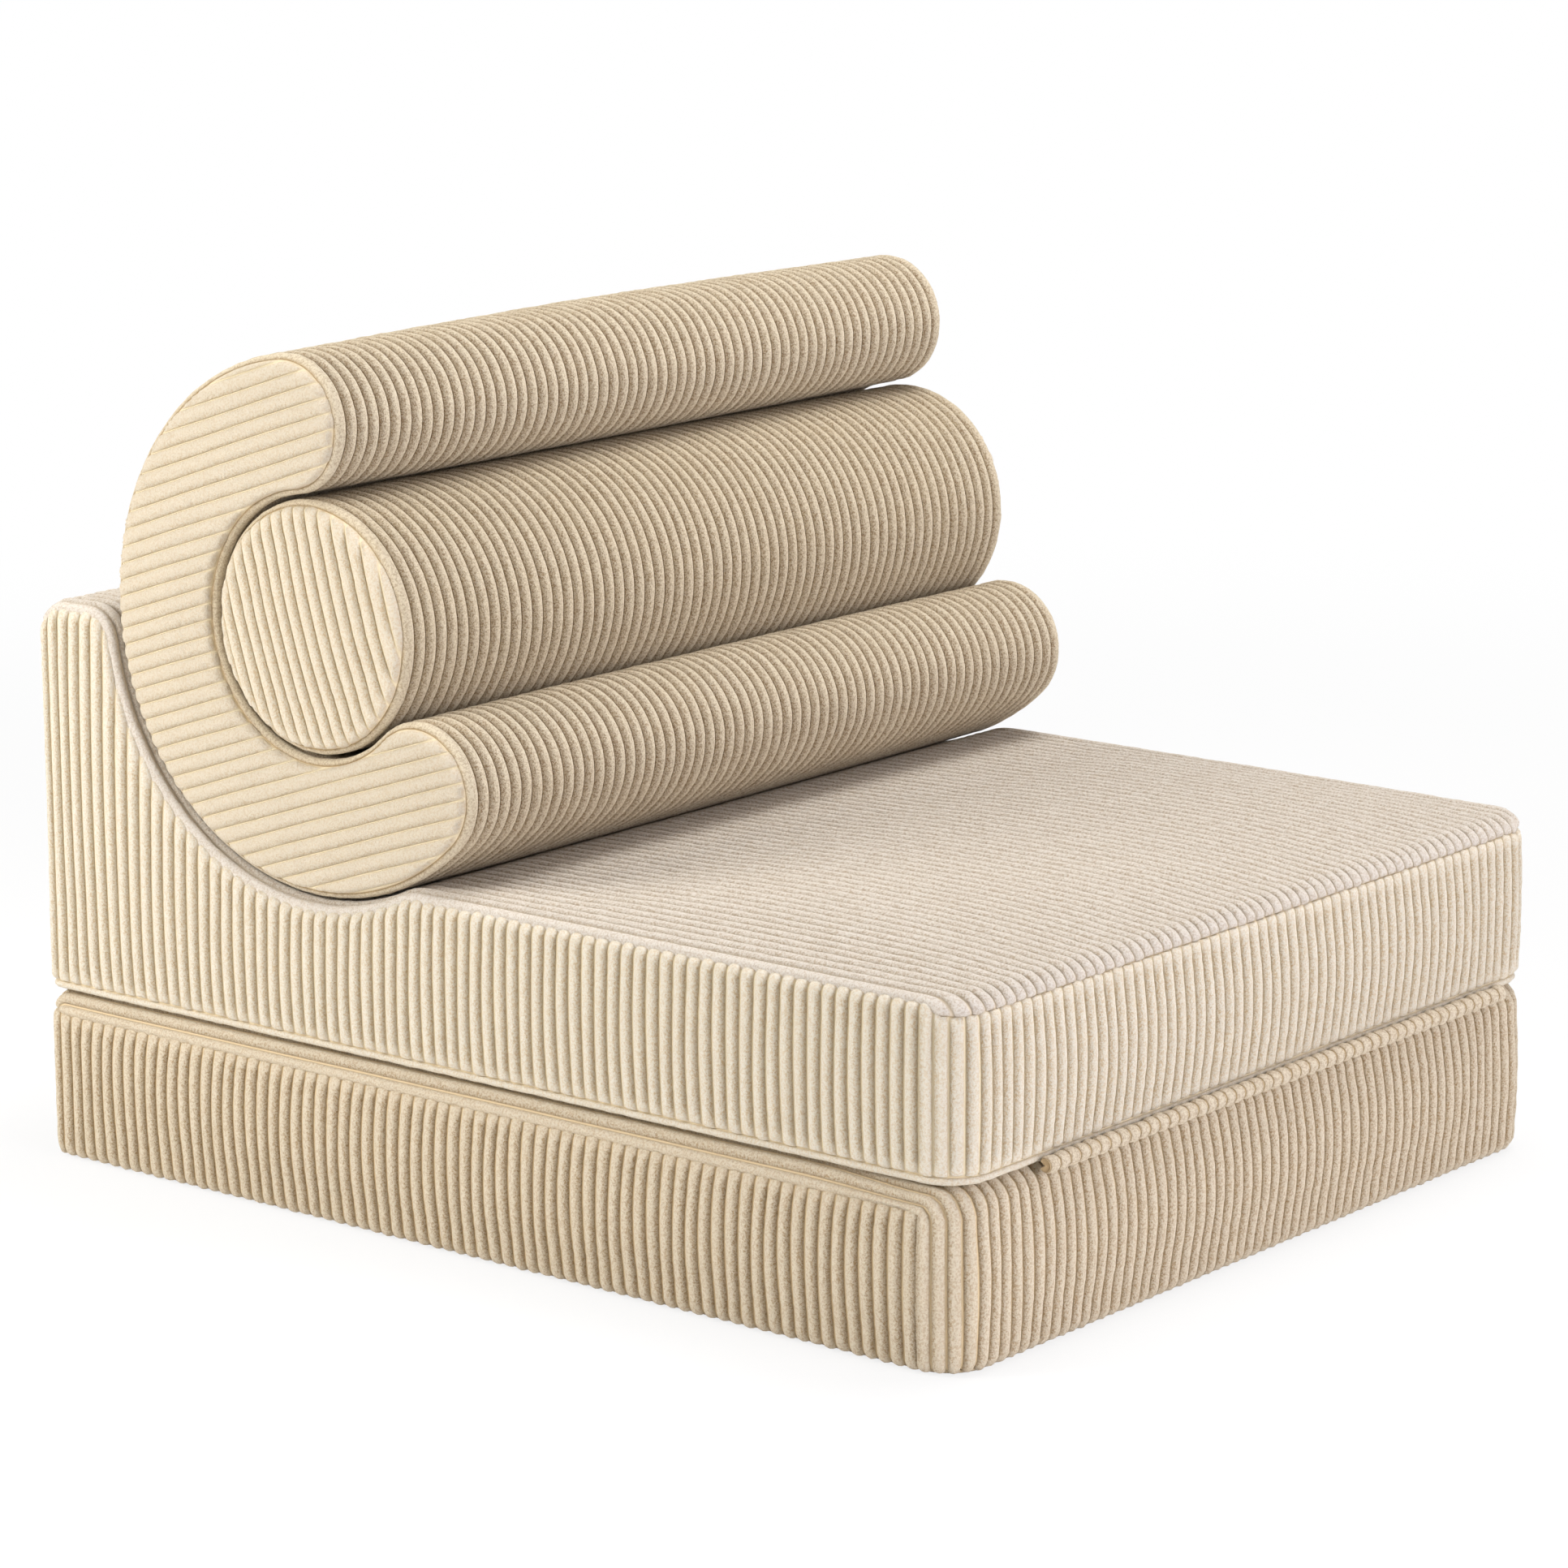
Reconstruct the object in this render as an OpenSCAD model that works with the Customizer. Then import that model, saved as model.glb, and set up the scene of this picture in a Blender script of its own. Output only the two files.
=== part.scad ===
// Fold-out chair: a seat cushion with a cradle, on a mat that folds out in front,
// with a C-shaped backrest that holds a round bolster.
// X runs side to side, -Y is the front, Z is up from the floor. Millimetres.

/* [Mat and seat] */
// Width of the mat and the seat
width = 636; // [560:1:760]
// Depth of the mat and the seat, front to back
depth = 770; // [720:1:860]
// Thickness of the mat
mat_h = 115; // [90:1:140]
// Thickness of the seat in front of the backrest
seat_h = 115; // [95:1:140]
// Radius of the front corners, seen from above
front_corner_r = 32; // [22:1:48]
// Radius of the back corners, seen from above
back_corner_r = 20; // [16:1:40]
// Rounding between the seat's top and its sides
seat_edge_r = 12; // [8:0.5:14]
// Rounding between the seat's bottom and its sides
seat_base_edge_r = 6; // [4.5:0.5:8]
// Rounding between the seat's top and its front
seat_brow_r = 17; // [15:0.5:24]
// Rounding between the seat's bottom and its front and back
seat_base_brow_r = 8.5; // [8.5:0.5:12]
// Rounding between the mat's top and its sides
mat_edge_r = 16; // [8:0.5:17]
// Rounding between the mat's bottom and its sides
mat_base_edge_r = 7; // [4.5:0.5:10]
// Rounding between the mat's top and its front and back
mat_brow_r = 18; // [17.5:0.5:24]
// Rounding between the mat's bottom and its front and back
mat_base_brow_r = 11; // [11:0.5:16]
// How far the front and back faces swell at their middle
face_swell = 3; // [1:0.5:5]
// How far the side faces and the bolsters' ends swell out from their seams
side_swell = 2; // [1:0.5:4]
// How far the seat's top rises at its middle
seat_crown = 4; // [0:0.5:8]

/* [Cradle] */
// Height of the cradle's top above the seat's top
cradle_rise = 148; // [110:1:160]
// How far the backrest sinks below the seat's top
scoop_sink = 19; // [10:1:26]
// Distance of the backrest's centre behind the middle of the seat
backrest_back = 136; // [110:1:142]
// Rounding of the cradle's top, towards the scoop
lip_r = 24; // [16:1:28]
// Rounding of the cradle's top, towards the back
crest_r = 26; // [18:1:30]
// Rounding where the seat's top dips into the scoop
dip_r = 40; // [20:1:60]

/* [Bolsters] */
// How far the bolsters' ends stand in from the sides
bolster_in = 4; // [0:1:40]
// Outer radius of the backrest
backrest_r = 174; // [160:1:180]
// Radius of the round bolster
roll_r = 82; // [70:1:92]
// Angle of the backrest's upper arm, up from straight ahead
upper_arm = 98; // [88:1:110]
// Angle of the backrest's lower arm, down from straight ahead
lower_arm = 47; // [36:1:56]
// Rounding at the ends of both bolsters
bolster_edge_r = 5.5; // [5:0.5:12]
// How much fuller both bolsters are at the middle of their length
bolster_crown = 1; // [0:0.5:4]

/* [Covers] */
// Thickness of the cord cloth, with its pile
cover_t = 3; // [2:0.25:4]
// Gap between soft pieces that can move apart
soft_gap = 0.3; // [0.2:0.05:0.6]

/* [Fold strip] */
// Distance of the strip's left end from the left side
strip_left = 80; // [50:1:140]
// Distance of the strip's right end from the right side
strip_right = 51; // [40:1:140]
// Thickness of the strip
strip_t = 1.6; // [1:0.1:2.5]

/* [Zips] */
// How far the ends of the seat's and the mat's slots stand in from the sides
slab_zip_in = 78; // [64:1:140]
// How far the ends of the backrest's slot stand in from the sides
backrest_zip_in = 98; // [74:1:150]
// Length of the slot in the round bolster's right end
roll_zip_len = 112; // [90:1:120]
// Height of the seat's zip above the seat's bottom
seat_zip_up = 48; // [36:1:60]
// Direction of the backrest's zip, up from straight back
backrest_zip_turn = 30; // [20:1:60]
// Width of the slots
slot_w = 14; // [12:0.5:18]
// Width of the cloth that turns in at a slot
lip_w = 2.5; // [2:0.25:4]
// Depth of the tape below the cloth's outer face
tape_drop = 7.4; // [7:0.1:9]
// Thickness of the tape
tape_t = 0.8; // [0.5:0.1:1.2]
// Width of the two coils together
coil_w = 5; // [4:0.25:6]
// Height of the coils above the tape
coil_h = 1.8; // [1.4:0.1:2.4]
// Gap between the two coils
coil_gap = 1.4; // [1:0.1:2]
// Length of the slider
slider_len = 12; // [10:0.5:15]
// Width of the slider
slider_w = 9; // [8:0.25:10.5]
// Thickness of the slider's two plates
plate_t = 1.2; // [0.8:0.1:1.4]
// Running gap round the coils and the tape
slider_gap = 0.35; // [0.25:0.05:0.5]
// Radius of the pin that carries the pull tab
pin_r = 0.8; // [0.6:0.05:1]
// Radial play of the pull tab on its pin
pin_play = 0.05; // [0.02:0.01:0.1]
// Length of the pull tab, from its pin to its tip
pull_len = 25; // [18:0.5:30]
// Width of the pull tab
pull_w = 7; // [5:0.25:8]
// Thickness of the pull tab
pull_t = 1.6; // [1.2:0.1:2]

/* [Hidden] */

cream = [0.93, 0.87, 0.75];
shade = [0.86, 0.79, 0.68];
foam_colour = [0.95, 0.93, 0.80];
tape_colour = [0.85, 0.80, 0.70];
metal_colour = [0.70, 0.70, 0.70];

// Sides of the arcs: each count is the number of flats
BROW_STEPS = 3;
SCOOP_STEPS = 11;
LIP_STEPS = 4;
CROWN_STEPS = 4;
WRAP_STEPS = 20;
HOLD_STEPS = 14;
ARM_STEPS = 7;
ROLL_STEPS = 28;
fine = 48;

joint_z = mat_h;
seat_top = mat_h + seat_h;
cradle_top = seat_top + cradle_rise;
axis_y = backrest_back;
axis_z = seat_top - scoop_sink + backrest_r;

// A hollow arc made of flats is cut deeper, so that its flats clear the round piece inside it
function hollow_r(r, sweep, steps) = (r + soft_gap) / cos(sweep / steps / 2);

// Line about which the mat folds: just ahead of the fullest part of the two fronts
fold_y = -depth / 2 - soft_gap;
// The strip rolls round that line and just clears the rounding under the seat's front
strip_reach = norm([depth / 2 - face_swell - seat_base_brow_r + fold_y, seat_base_brow_r]);
strip_r = strip_reach - seat_base_brow_r - soft_gap;
// The strip stands out in front, so everything is set back by half of that
set_back = (strip_r - fold_y - depth / 2) / 2;

// Outlines in the side view are lists of [y, z], turning left round the solid

function arc(cy, cz, r, from, to, steps) =
    [for (k = [0 : steps]) let (a = from + (to - from) * k / steps) [cy + r * cos(a), cz + r * sin(a)]];

// Points strictly between two ends, bowed out by up to `bow` along [dy, dz]
function bowed(a, b, bow, side, steps) =
    [for (k = [1 : steps - 1]) let (u = k / steps) a + (b - a) * u + side * bow * 4 * u * (1 - u)];

// How far a rounding of radius r has fallen away at distance s from the side
function fall(r, s) = s < r ? r - sqrt(r * r - (r - s) * (r - s)) : 0;

// Sections across the width: distances from the side at which an outline is taken
function side_steps(edge, corner) = [0, edge * (1 - cos(45)), edge, max(corner, edge + 2)];

// The same distances seen from a face that lies t further in
function moved_in(s, edge, t) = s < edge ? s * (edge - t) / edge : s - t;

// Fullness at x: 1 in the middle, 0 at the sides
function fullness(x, half) = 1 - pow(abs(x) / half, 4);

// x and distance from the side for each section, left to right
function sections(half, edge, corner, t) = let (
    inner = [for (s = side_steps(edge, corner)) moved_in(s, edge, t)],
    flat_half = half - t,
    n = len(inner)
) concat(
    [for (k = [0 : n - 1]) [-flat_half + inner[k], inner[k]]],
    [[-half / 2, half / 2], [0, half], [half / 2, half / 2]],
    [for (k = [n - 1 : -1 : 0]) [flat_half - inner[k], inner[k]]]
);

// How far the four faces have fallen away at one section: front, back, underside and top
function insets(t, s, base_edge, edge) = [
    t + fall(front_corner_r - t, s),
    t + fall(back_corner_r - t, s),
    t + fall(base_edge - t, s),
    t + fall(edge - t, s)
];

least_r = 1.5;
slab_front = -depth / 2 + face_swell;
slab_back = depth / 2 - face_swell;
slab_half = width / 2 - side_swell;

// Side outline of the mat; the list starts at the foot of the front
function mat_outline(full, fallen) = let (
    f = slab_front + fallen[0],
    b = slab_back - fallen[1],
    under = fallen[2],
    over = fallen[3],
    base_r = max(mat_base_brow_r - under, least_r),
    top_r = max(mat_brow_r - over, least_r),
    swell = full * face_swell,
    floor_arc_f = arc(f + base_r, under + base_r, base_r, 180, 270, BROW_STEPS),
    floor_arc_b = arc(b - base_r, under + base_r, base_r, 270, 360, BROW_STEPS),
    top_arc_b = arc(b - top_r, mat_h - over - top_r, top_r, 0, 90, BROW_STEPS),
    top_arc_f = arc(f + top_r, mat_h - over - top_r, top_r, 90, 180, BROW_STEPS)
) concat(
    floor_arc_f,
    floor_arc_b,
    bowed(floor_arc_b[BROW_STEPS], top_arc_b[0], swell, [1, 0], 2),
    top_arc_b,
    top_arc_f,
    bowed(top_arc_f[BROW_STEPS], floor_arc_f[0], swell, [-1, 0], 2)
);

scoop_r = hollow_r(backrest_r, 110, SCOOP_STEPS);

// Centre of a rounding of radius r that meets the scoop, deepened by `over`, below height `top`;
// it lies behind the scoop where side is 1 and ahead of it where side is -1
function beside_scoop(top, r, over, side) = let (z = top - over - r)
    [axis_y + side * sqrt(pow(scoop_r + over + r, 2) - pow(axis_z - z, 2)), z];

// Direction from the scoop's centre to a point
function scoop_turn(p) = atan2(p[1] - axis_z, p[0] - axis_y);

// Side outline of the seat; the list starts at the foot of the front
function seat_outline(full, fallen) = let (
    f = slab_front + fallen[0],
    b = slab_back - fallen[1],
    under = fallen[2],
    over = fallen[3],
    base_r = max(seat_base_brow_r - under, least_r),
    brow = max(seat_brow_r - over, least_r),
    crest = max(crest_r - over, least_r),
    lip = max(lip_r - over, least_r),
    dip = max(dip_r - over, least_r),
    lip_mid = beside_scoop(cradle_top, lip, over, 1),
    dip_mid = beside_scoop(seat_top, dip, over, -1),
    from = scoop_turn(lip_mid),
    to = scoop_turn(dip_mid),
    base_arc_f = arc(f + base_r, joint_z + under + base_r, base_r, 180, 270, BROW_STEPS),
    base_arc_b = arc(b - base_r, joint_z + under + base_r, base_r, 270, 360, BROW_STEPS),
    crest_arc = arc(b - crest, cradle_top - over - crest, crest, 0, 90, LIP_STEPS),
    lip_arc = arc(lip_mid[0], lip_mid[1], lip, 90, 180 + from, LIP_STEPS),
    scoop_arc = arc(axis_y, axis_z, scoop_r + over, from, to, SCOOP_STEPS),
    dip_arc = arc(dip_mid[0], dip_mid[1], dip, 180 + to, 90, 2),
    brow_arc = arc(f + brow, seat_top - over - brow, brow, 90, 180, BROW_STEPS)
) concat(
    base_arc_f,
    base_arc_b,
    bowed(base_arc_b[BROW_STEPS], crest_arc[0], full * face_swell, [1, 0], 2),
    crest_arc,
    lip_arc,
    [for (k = [1 : SCOOP_STEPS - 1]) scoop_arc[k]],
    dip_arc,
    bowed(dip_arc[2], brow_arc[0], full * seat_crown, [0, 1], CROWN_STEPS),
    brow_arc,
    bowed(brow_arc[BROW_STEPS], base_arc_f[0], full * face_swell, [-1, 0], 2)
);

// Side outline of the C-shaped backrest, inset by d
hold_sweep = upper_arm + lower_arm;
arm_up = 180 - upper_arm;
arm_down = arm_up - (360 - hold_sweep);
hold_r = hollow_r(roll_r, 360 - hold_sweep, HOLD_STEPS);
arm_r = (backrest_r - hold_r) / 2;
arm_mid_r = (backrest_r + hold_r) / 2;

function backrest_outline(d) = let (
    outer_arc = arc(axis_y, axis_z, backrest_r - d, arm_down, arm_up, WRAP_STEPS),
    hold_arc = arc(axis_y, axis_z, hold_r + d, arm_up, arm_down, HOLD_STEPS),
    tip_up = arc(axis_y + arm_mid_r * cos(arm_up), axis_z + arm_mid_r * sin(arm_up),
                 arm_r - d, arm_up, arm_up + 180, ARM_STEPS),
    tip_down = arc(axis_y + arm_mid_r * cos(arm_down), axis_z + arm_mid_r * sin(arm_down),
                   arm_r - d, arm_down + 180, arm_down + 360, ARM_STEPS)
) concat(
    outer_arc,
    [for (k = [1 : ARM_STEPS - 1]) tip_up[k]],
    hold_arc,
    [for (k = [1 : ARM_STEPS - 1]) tip_down[k]]
);

function roll_outline(d) =
    [for (k = [0 : ROLL_STEPS - 1]) let (a = 360 * k / ROLL_STEPS)
        [axis_y + (roll_r - d) * cos(a), axis_z + (roll_r - d) * sin(a)]];

// Rows of points, one row per section from left to right

function row(x, outline) = [for (p = outline) [x, p[0], p[1]]];

function mat_rows(t) =
    [for (q = sections(slab_half, mat_edge_r, front_corner_r, t))
        row(q[0], mat_outline(fullness(q[0], slab_half), insets(t, q[1], mat_base_edge_r, mat_edge_r)))];

function seat_rows(t) =
    [for (q = sections(slab_half, seat_edge_r, front_corner_r, t))
        row(q[0], seat_outline(fullness(q[0], slab_half), insets(t, q[1], seat_base_edge_r, seat_edge_r)))];

bolster_len = width - 2 * bolster_in;
bolster_half = bolster_len / 2 - side_swell;

function bolster_sections(t) = let (
    half = bolster_half - t,
    edge = bolster_edge_r - t,
    bevel = edge * (1 - cos(45))
) [
    [-half, t + edge + bolster_crown],
    [-half + bevel, t + bevel + bolster_crown],
    [-half + edge, t + bolster_crown],
    [0, t],
    [half - edge, t + bolster_crown],
    [half - bevel, t + bevel + bolster_crown],
    [half, t + edge + bolster_crown]
];

function backrest_rows(t) = [for (q = bolster_sections(t)) row(q[0], backrest_outline(q[1]))];
function roll_rows(t) = [for (q = bolster_sections(t)) row(q[0], roll_outline(q[1]))];

// Solids from rows

function two_triangles(a, b, c, d) = [[a, d, c], [a, c, b]];
function two_back(a, b, c, d) = [[a, c, d], [a, b, c]];

// Twice the area of a triangle, above 0 where a, b, c turn left
function turn(a, b, c) = (b[0] - a[0]) * (c[1] - a[1]) - (b[1] - a[1]) * (c[0] - a[0]);

function covers(a, b, c, p) = turn(a, b, p) > -1e-6 && turn(b, c, p) > -1e-6 && turn(c, a, p) > -1e-6;

// Whether corner k of those left can be cut off as a triangle that no other corner lies in
function is_ear(o, left, k) = let (
    n = len(left), i = (k + n - 1) % n, j = (k + 1) % n,
    a = o[left[i]], b = o[left[k]], c = o[left[j]]
) turn(a, b, c) > 1e-6
    && len([for (m = [0 : n - 1]) if (m != i && m != k && m != j && covers(a, b, c, o[left[m]])) m]) == 0;

function first_ear(o, left, k) = k >= len(left) || is_ear(o, left, k) ? k : first_ear(o, left, k + 1);

// Triangles that fill an outline of any shape, as lists of three of its indices
function filled(o, left) = len(left) < 4 ? [left] : let (
    n = len(left),
    k = first_ear(o, left, 0) % n
) concat(
    [[left[(k + n - 1) % n], left[k], left[(k + 1) % n]]],
    filled(o, [for (m = [1 : n - 1]) left[(k + m) % n]])
);

function flat_fill(points) = let (o = [for (p = points) [p[1], p[2]]])
    filled(o, [for (i = [0 : len(o) - 1]) i]);

// A closed block: the rows' skin and a flat end at each side
module block(rows) {
    rn = len(rows);
    n = len(rows[0]);
    points = [for (r = rows) for (p = r) p];
    skin = [for (j = [0 : rn - 2]) for (i = [0 : n - 1]) let (k = (i + 1) % n)
        each two_triangles(j * n + i, j * n + k, (j + 1) * n + k, (j + 1) * n + i)];
    cap = flat_fill(rows[0]);
    left_end = [for (f = cap) f];
    right_end = [for (f = cap) [for (k = [2 : -1 : 0]) (rn - 1) * n + f[k]]];
    polyhedron(points = points, faces = concat(skin, left_end, right_end), convexity = 6);
}

// A sheet between an outer and an inner skin, over the outline points first .. first + count;
// a looped sheet goes once round the whole outline
module sheet(outer, inner, first, count, looped = false) {
    rn = len(outer);
    n = len(outer[0]);
    cols = looped ? n : count + 1;
    half = rn * cols;
    points = [for (skin = [outer, inner]) for (r = skin) for (i = [0 : cols - 1]) r[(first + i) % n]];
    function at(j, i) = j * cols + i % cols;
    skins = [for (j = [0 : rn - 2]) for (i = [0 : count - 1]) let (
        a = at(j, i), b = at(j, i + 1), c = at(j + 1, i + 1), d = at(j + 1, i)
    ) each concat(two_triangles(a, b, c, d), two_back(a + half, b + half, c + half, d + half))];
    seams = [for (j = [0 : rn - 2]) let (a = at(j, 0), d = at(j + 1, 0), b = at(j, count), c = at(j + 1, count))
        each concat(two_triangles(a, d, d + half, a + half), two_back(b, c, c + half, b + half))];
    sides = [for (i = [0 : count - 1]) let (a = at(0, i), b = at(0, i + 1),
                                           d = at(rn - 1, i), c = at(rn - 1, i + 1))
        each concat(two_back(a, b, b + half, a + half), two_triangles(d, c, c + half, d + half))];
    polyhedron(points = points, faces = looped ? concat(skins, sides) : concat(skins, seams, sides),
               convexity = 8);
}

// A wrap goes round the whole outline
module wrap(outer, inner) {
    sheet(outer, inner, 0, len(outer[0]), true);
}

// An end cloth on the left: flat inside, and outside it swells from its seam within a narrow band
RING_IN = [0, 8];
RING_OUT = [0, 1];

module end_pad(x, rings) {
    n = len(rings[0]);
    rn = len(rings);
    points = concat(
        [for (p = rings[0]) [x + cover_t, p[0], p[1]]],
        [for (j = [0 : rn - 1]) for (p = rings[j]) [x - RING_OUT[j] * side_swell, p[0], p[1]]]
    );
    skin = [for (j = [0 : rn - 1]) for (i = [0 : n - 1]) let (k = (i + 1) % n)
        each two_back(j * n + i, j * n + k, (j + 1) * n + k, (j + 1) * n + i)];
    inside = [for (f = filled(rings[0], [for (i = [0 : n - 1]) i])) [f[2], f[1], f[0]]];
    outside = [for (f = filled(rings[rn - 1], [for (i = [0 : n - 1]) i])) [for (i = f) rn * n + i]];
    polyhedron(points = points, faces = concat(inside, skin, outside), convexity = 6);
}

// The cloth on the right is the left one's mirror image
module on_side(right) {
    if (right) mirror([1, 0, 0]) children();
    else children();
}

function ring_insets(base_edge, edge, d) =
    [front_corner_r + d, back_corner_r + d, base_edge + d, edge + d];

module seat_end(right) {
    on_side(right) end_pad(-slab_half,
        [for (d = RING_IN) seat_outline(0, ring_insets(seat_base_edge_r, seat_edge_r, d))]);
}

module mat_end(right) {
    on_side(right) end_pad(-slab_half,
        [for (d = RING_IN) mat_outline(0, ring_insets(mat_base_edge_r, mat_edge_r, d))]);
}

module backrest_end(right) {
    on_side(right) end_pad(-bolster_half,
        [for (d = RING_IN) backrest_outline(bolster_edge_r + bolster_crown + d)]);
}

module roll_end(right) {
    on_side(right) end_pad(-bolster_half,
        [for (d = RING_IN) roll_outline(bolster_edge_r + bolster_crown + d)]);
}

seat_outer = seat_rows(0);
seat_inner = seat_rows(cover_t);
mat_outer = mat_rows(0);
mat_inner = mat_rows(cover_t);
backrest_outer = backrest_rows(0);
backrest_inner = backrest_rows(cover_t);
roll_outer = roll_rows(0);
roll_inner = roll_rows(cover_t);

// Places in the outlines where one cloth ends and the next begins
base_count = 2 * BROW_STEPS + 1;
back_count = 2;
seat_front_count = 2;
seat_len = len(seat_outer[0]);
seat_top_count = seat_len - base_count - back_count - seat_front_count;
mat_len = len(mat_outer[0]);
mat_top_count = mat_len - base_count - back_count;

// Zip, in its own frame: x along the tape, z out of the cloth, z = 0 at the cloth's face
coil_top = -tape_drop + coil_h;
plate_under = coil_top + slider_gap;
plate_top = plate_under + plate_t;
pin_z = plate_top + slider_gap + pin_r + pin_play + 0.8;
eye_r = pin_r + pin_play + 0.75;
foot_top = -tape_drop - tape_t - slider_gap;
foot_under = foot_top - plate_t;
recess_drop = -foot_under + 1;
tape_w = slot_w + 2 * lip_w;
ear_gap = 4.2;
ear_t = 1;

slab_zip_len = width - 2 * slab_zip_in;
backrest_zip_len = width - 2 * backrest_zip_in;

function slider_x(slot_len) = slot_len / 2 - slider_len / 2 - 1.5;

module zip_slot(slot_len) {
    translate([-slot_len / 2, -slot_w / 2, -2 * tape_drop]) cube([slot_len, slot_w, 4 * tape_drop]);
}

module zip_recess(slot_len) {
    long = slot_len + 2 * lip_w + 2 * soft_gap;
    wide = tape_w + 2 * soft_gap;
    translate([-long / 2, -wide / 2, -recess_drop]) cube([long, wide, 2 * recess_drop]);
}

// Cloth turned in round the slot, down to the tape
module zip_lip(slot_len) {
    long = slot_len + 2 * lip_w;
    drop = tape_drop - cover_t * 0.7;
    difference() {
        translate([-long / 2, -tape_w / 2, -tape_drop]) cube([long, tape_w, drop]);
        zip_slot(slot_len);
    }
}

module zip_tape(slot_len) {
    long = slot_len + 2 * lip_w;
    strip_w = (tape_w - coil_gap) / 2;
    for (side = [0, 1]) mirror([0, side, 0]) {
        translate([-long / 2, coil_gap / 2, -tape_drop - tape_t]) cube([long, strip_w, tape_t]);
        translate([-slot_len / 2, coil_gap / 2, -tape_drop])
            cube([slot_len, (coil_w - coil_gap) / 2, coil_h]);
    }
    for (side = [0, 1]) mirror([side, 0, 0])
        translate([slot_len / 2, -tape_w / 2, -tape_drop - tape_t]) cube([lip_w, tape_w, tape_t]);
}

module slider_plate(z, wide) {
    nose = wide / 2;
    translate([0, 0, z]) linear_extrude(plate_t) union() {
        translate([-slider_len / 2, -wide / 2]) square([slider_len - nose, wide]);
        translate([slider_len / 2 - nose, 0]) circle(r = nose, $fn = fine);
    }
}

module zip_slider(slot_len) {
    post_w = coil_gap - 2 * slider_gap;
    flange_y = coil_w / 2 + slider_gap;
    flange_w = slider_w / 2 - flange_y;
    skirt_z = -tape_drop + slider_gap;
    translate([slider_x(slot_len), 0, 0]) {
        slider_plate(plate_under, slider_w);
        slider_plate(foot_under, slider_w);
        translate([-slider_len / 4, -post_w / 2, foot_under + plate_t / 2])
            cube([slider_len / 2, post_w, plate_under - foot_under]);
        for (side = [0, 1]) mirror([0, side, 0]) {
            translate([-slider_len / 2, flange_y, skirt_z])
                cube([slider_len - slider_w / 2, flange_w, plate_under - skirt_z + plate_t / 2]);
            translate([0, ear_gap / 2, 0]) rotate([-90, 0, 0]) linear_extrude(ear_t) union() {
                translate([0, -pin_z]) circle(r = eye_r, $fn = fine);
                translate([-eye_r, -pin_z]) square([2 * eye_r, pin_z - plate_top + plate_t / 2]);
            }
        }
        translate([0, -ear_gap / 2 - ear_t / 2, pin_z]) rotate([-90, 0, 0])
            cylinder(r = pin_r, h = ear_gap + ear_t, $fn = fine);
    }
}

module zip_pull(slot_len) {
    eye_w = ear_gap - 2 * slider_gap;
    grip_start = eye_r + 1.5;
    translate([slider_x(slot_len), 0, pin_z]) difference() {
        union() {
            rotate([-90, 0, 0]) translate([0, 0, -eye_w / 2]) cylinder(r = eye_r, h = eye_w, $fn = fine);
            translate([-grip_start - pull_w / 2, -eye_w / 2, -pull_t / 2])
                cube([grip_start + pull_w / 2, eye_w, pull_t]);
            translate([0, 0, -pull_t / 2]) linear_extrude(pull_t) union() {
                translate([-pull_len + pull_w / 2, -pull_w / 2])
                    square([pull_len - pull_w - grip_start, pull_w]);
                translate([-pull_len + pull_w / 2, 0]) circle(r = pull_w / 2, $fn = fine);
                translate([-grip_start - pull_w / 2, 0]) circle(r = pull_w / 2, $fn = fine);
            }
        }
        rotate([-90, 0, 0]) translate([0, 0, -eye_w])
            cylinder(r = pin_r + pin_play, h = 2 * eye_w, $fn = fine);
        translate([-pull_len + pull_w / 2, 0, -pull_t]) cylinder(r = pull_w / 4, h = 2 * pull_t, $fn = fine);
    }
}

// Where each zip lies
seat_zip_swell = face_swell * (seat_zip_up - seat_base_brow_r)
    / ((cradle_top - crest_r - joint_z - seat_base_brow_r) / 2);

module at_seat_zip() {
    translate([0, depth / 2 - face_swell + seat_zip_swell, joint_z + seat_zip_up]) rotate([-90, 0, 0]) children();
}

module at_mat_zip() {
    translate([0, depth / 2, mat_h / 2]) rotate([-90, 0, 0]) children();
}

module at_backrest_zip() {
    reach = backrest_r - soft_gap;
    translate([0, axis_y + reach * cos(backrest_zip_turn), axis_z + reach * sin(backrest_zip_turn)])
        rotate([backrest_zip_turn - 90, 0, 0]) children();
}

module at_roll_zip() {
    translate([bolster_len / 2, axis_y, axis_z]) rotate([0, 90, 0]) rotate([0, 0, 90]) children();
}

// Everything is set back so that the strip's front and the back face lie evenly about the middle
module placed() {
    translate([0, set_back, 0]) children();
}

module seat_foam() {
    color(foam_colour) placed() difference() {
        block(seat_inner);
        at_seat_zip() zip_recess(slab_zip_len);
    }
}

module seat_top_cover() {
    color(cream) placed() sheet(seat_outer, seat_inner, base_count + back_count, seat_top_count);
}

module seat_front_cover() {
    color(cream) placed() sheet(seat_outer, seat_inner, seat_len - seat_front_count, seat_front_count);
}

module seat_back_cover() {
    color(cream) placed() {
        difference() {
            sheet(seat_outer, seat_inner, base_count, back_count);
            at_seat_zip() zip_slot(slab_zip_len);
        }
        at_seat_zip() zip_lip(slab_zip_len);
    }
}

module seat_bottom_cover() {
    color(shade) placed() sheet(seat_outer, seat_inner, 0, base_count);
}

module seat_left_cover() {
    color(cream) placed() seat_end(false);
}

module seat_right_cover() {
    color(cream) placed() seat_end(true);
}

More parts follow.
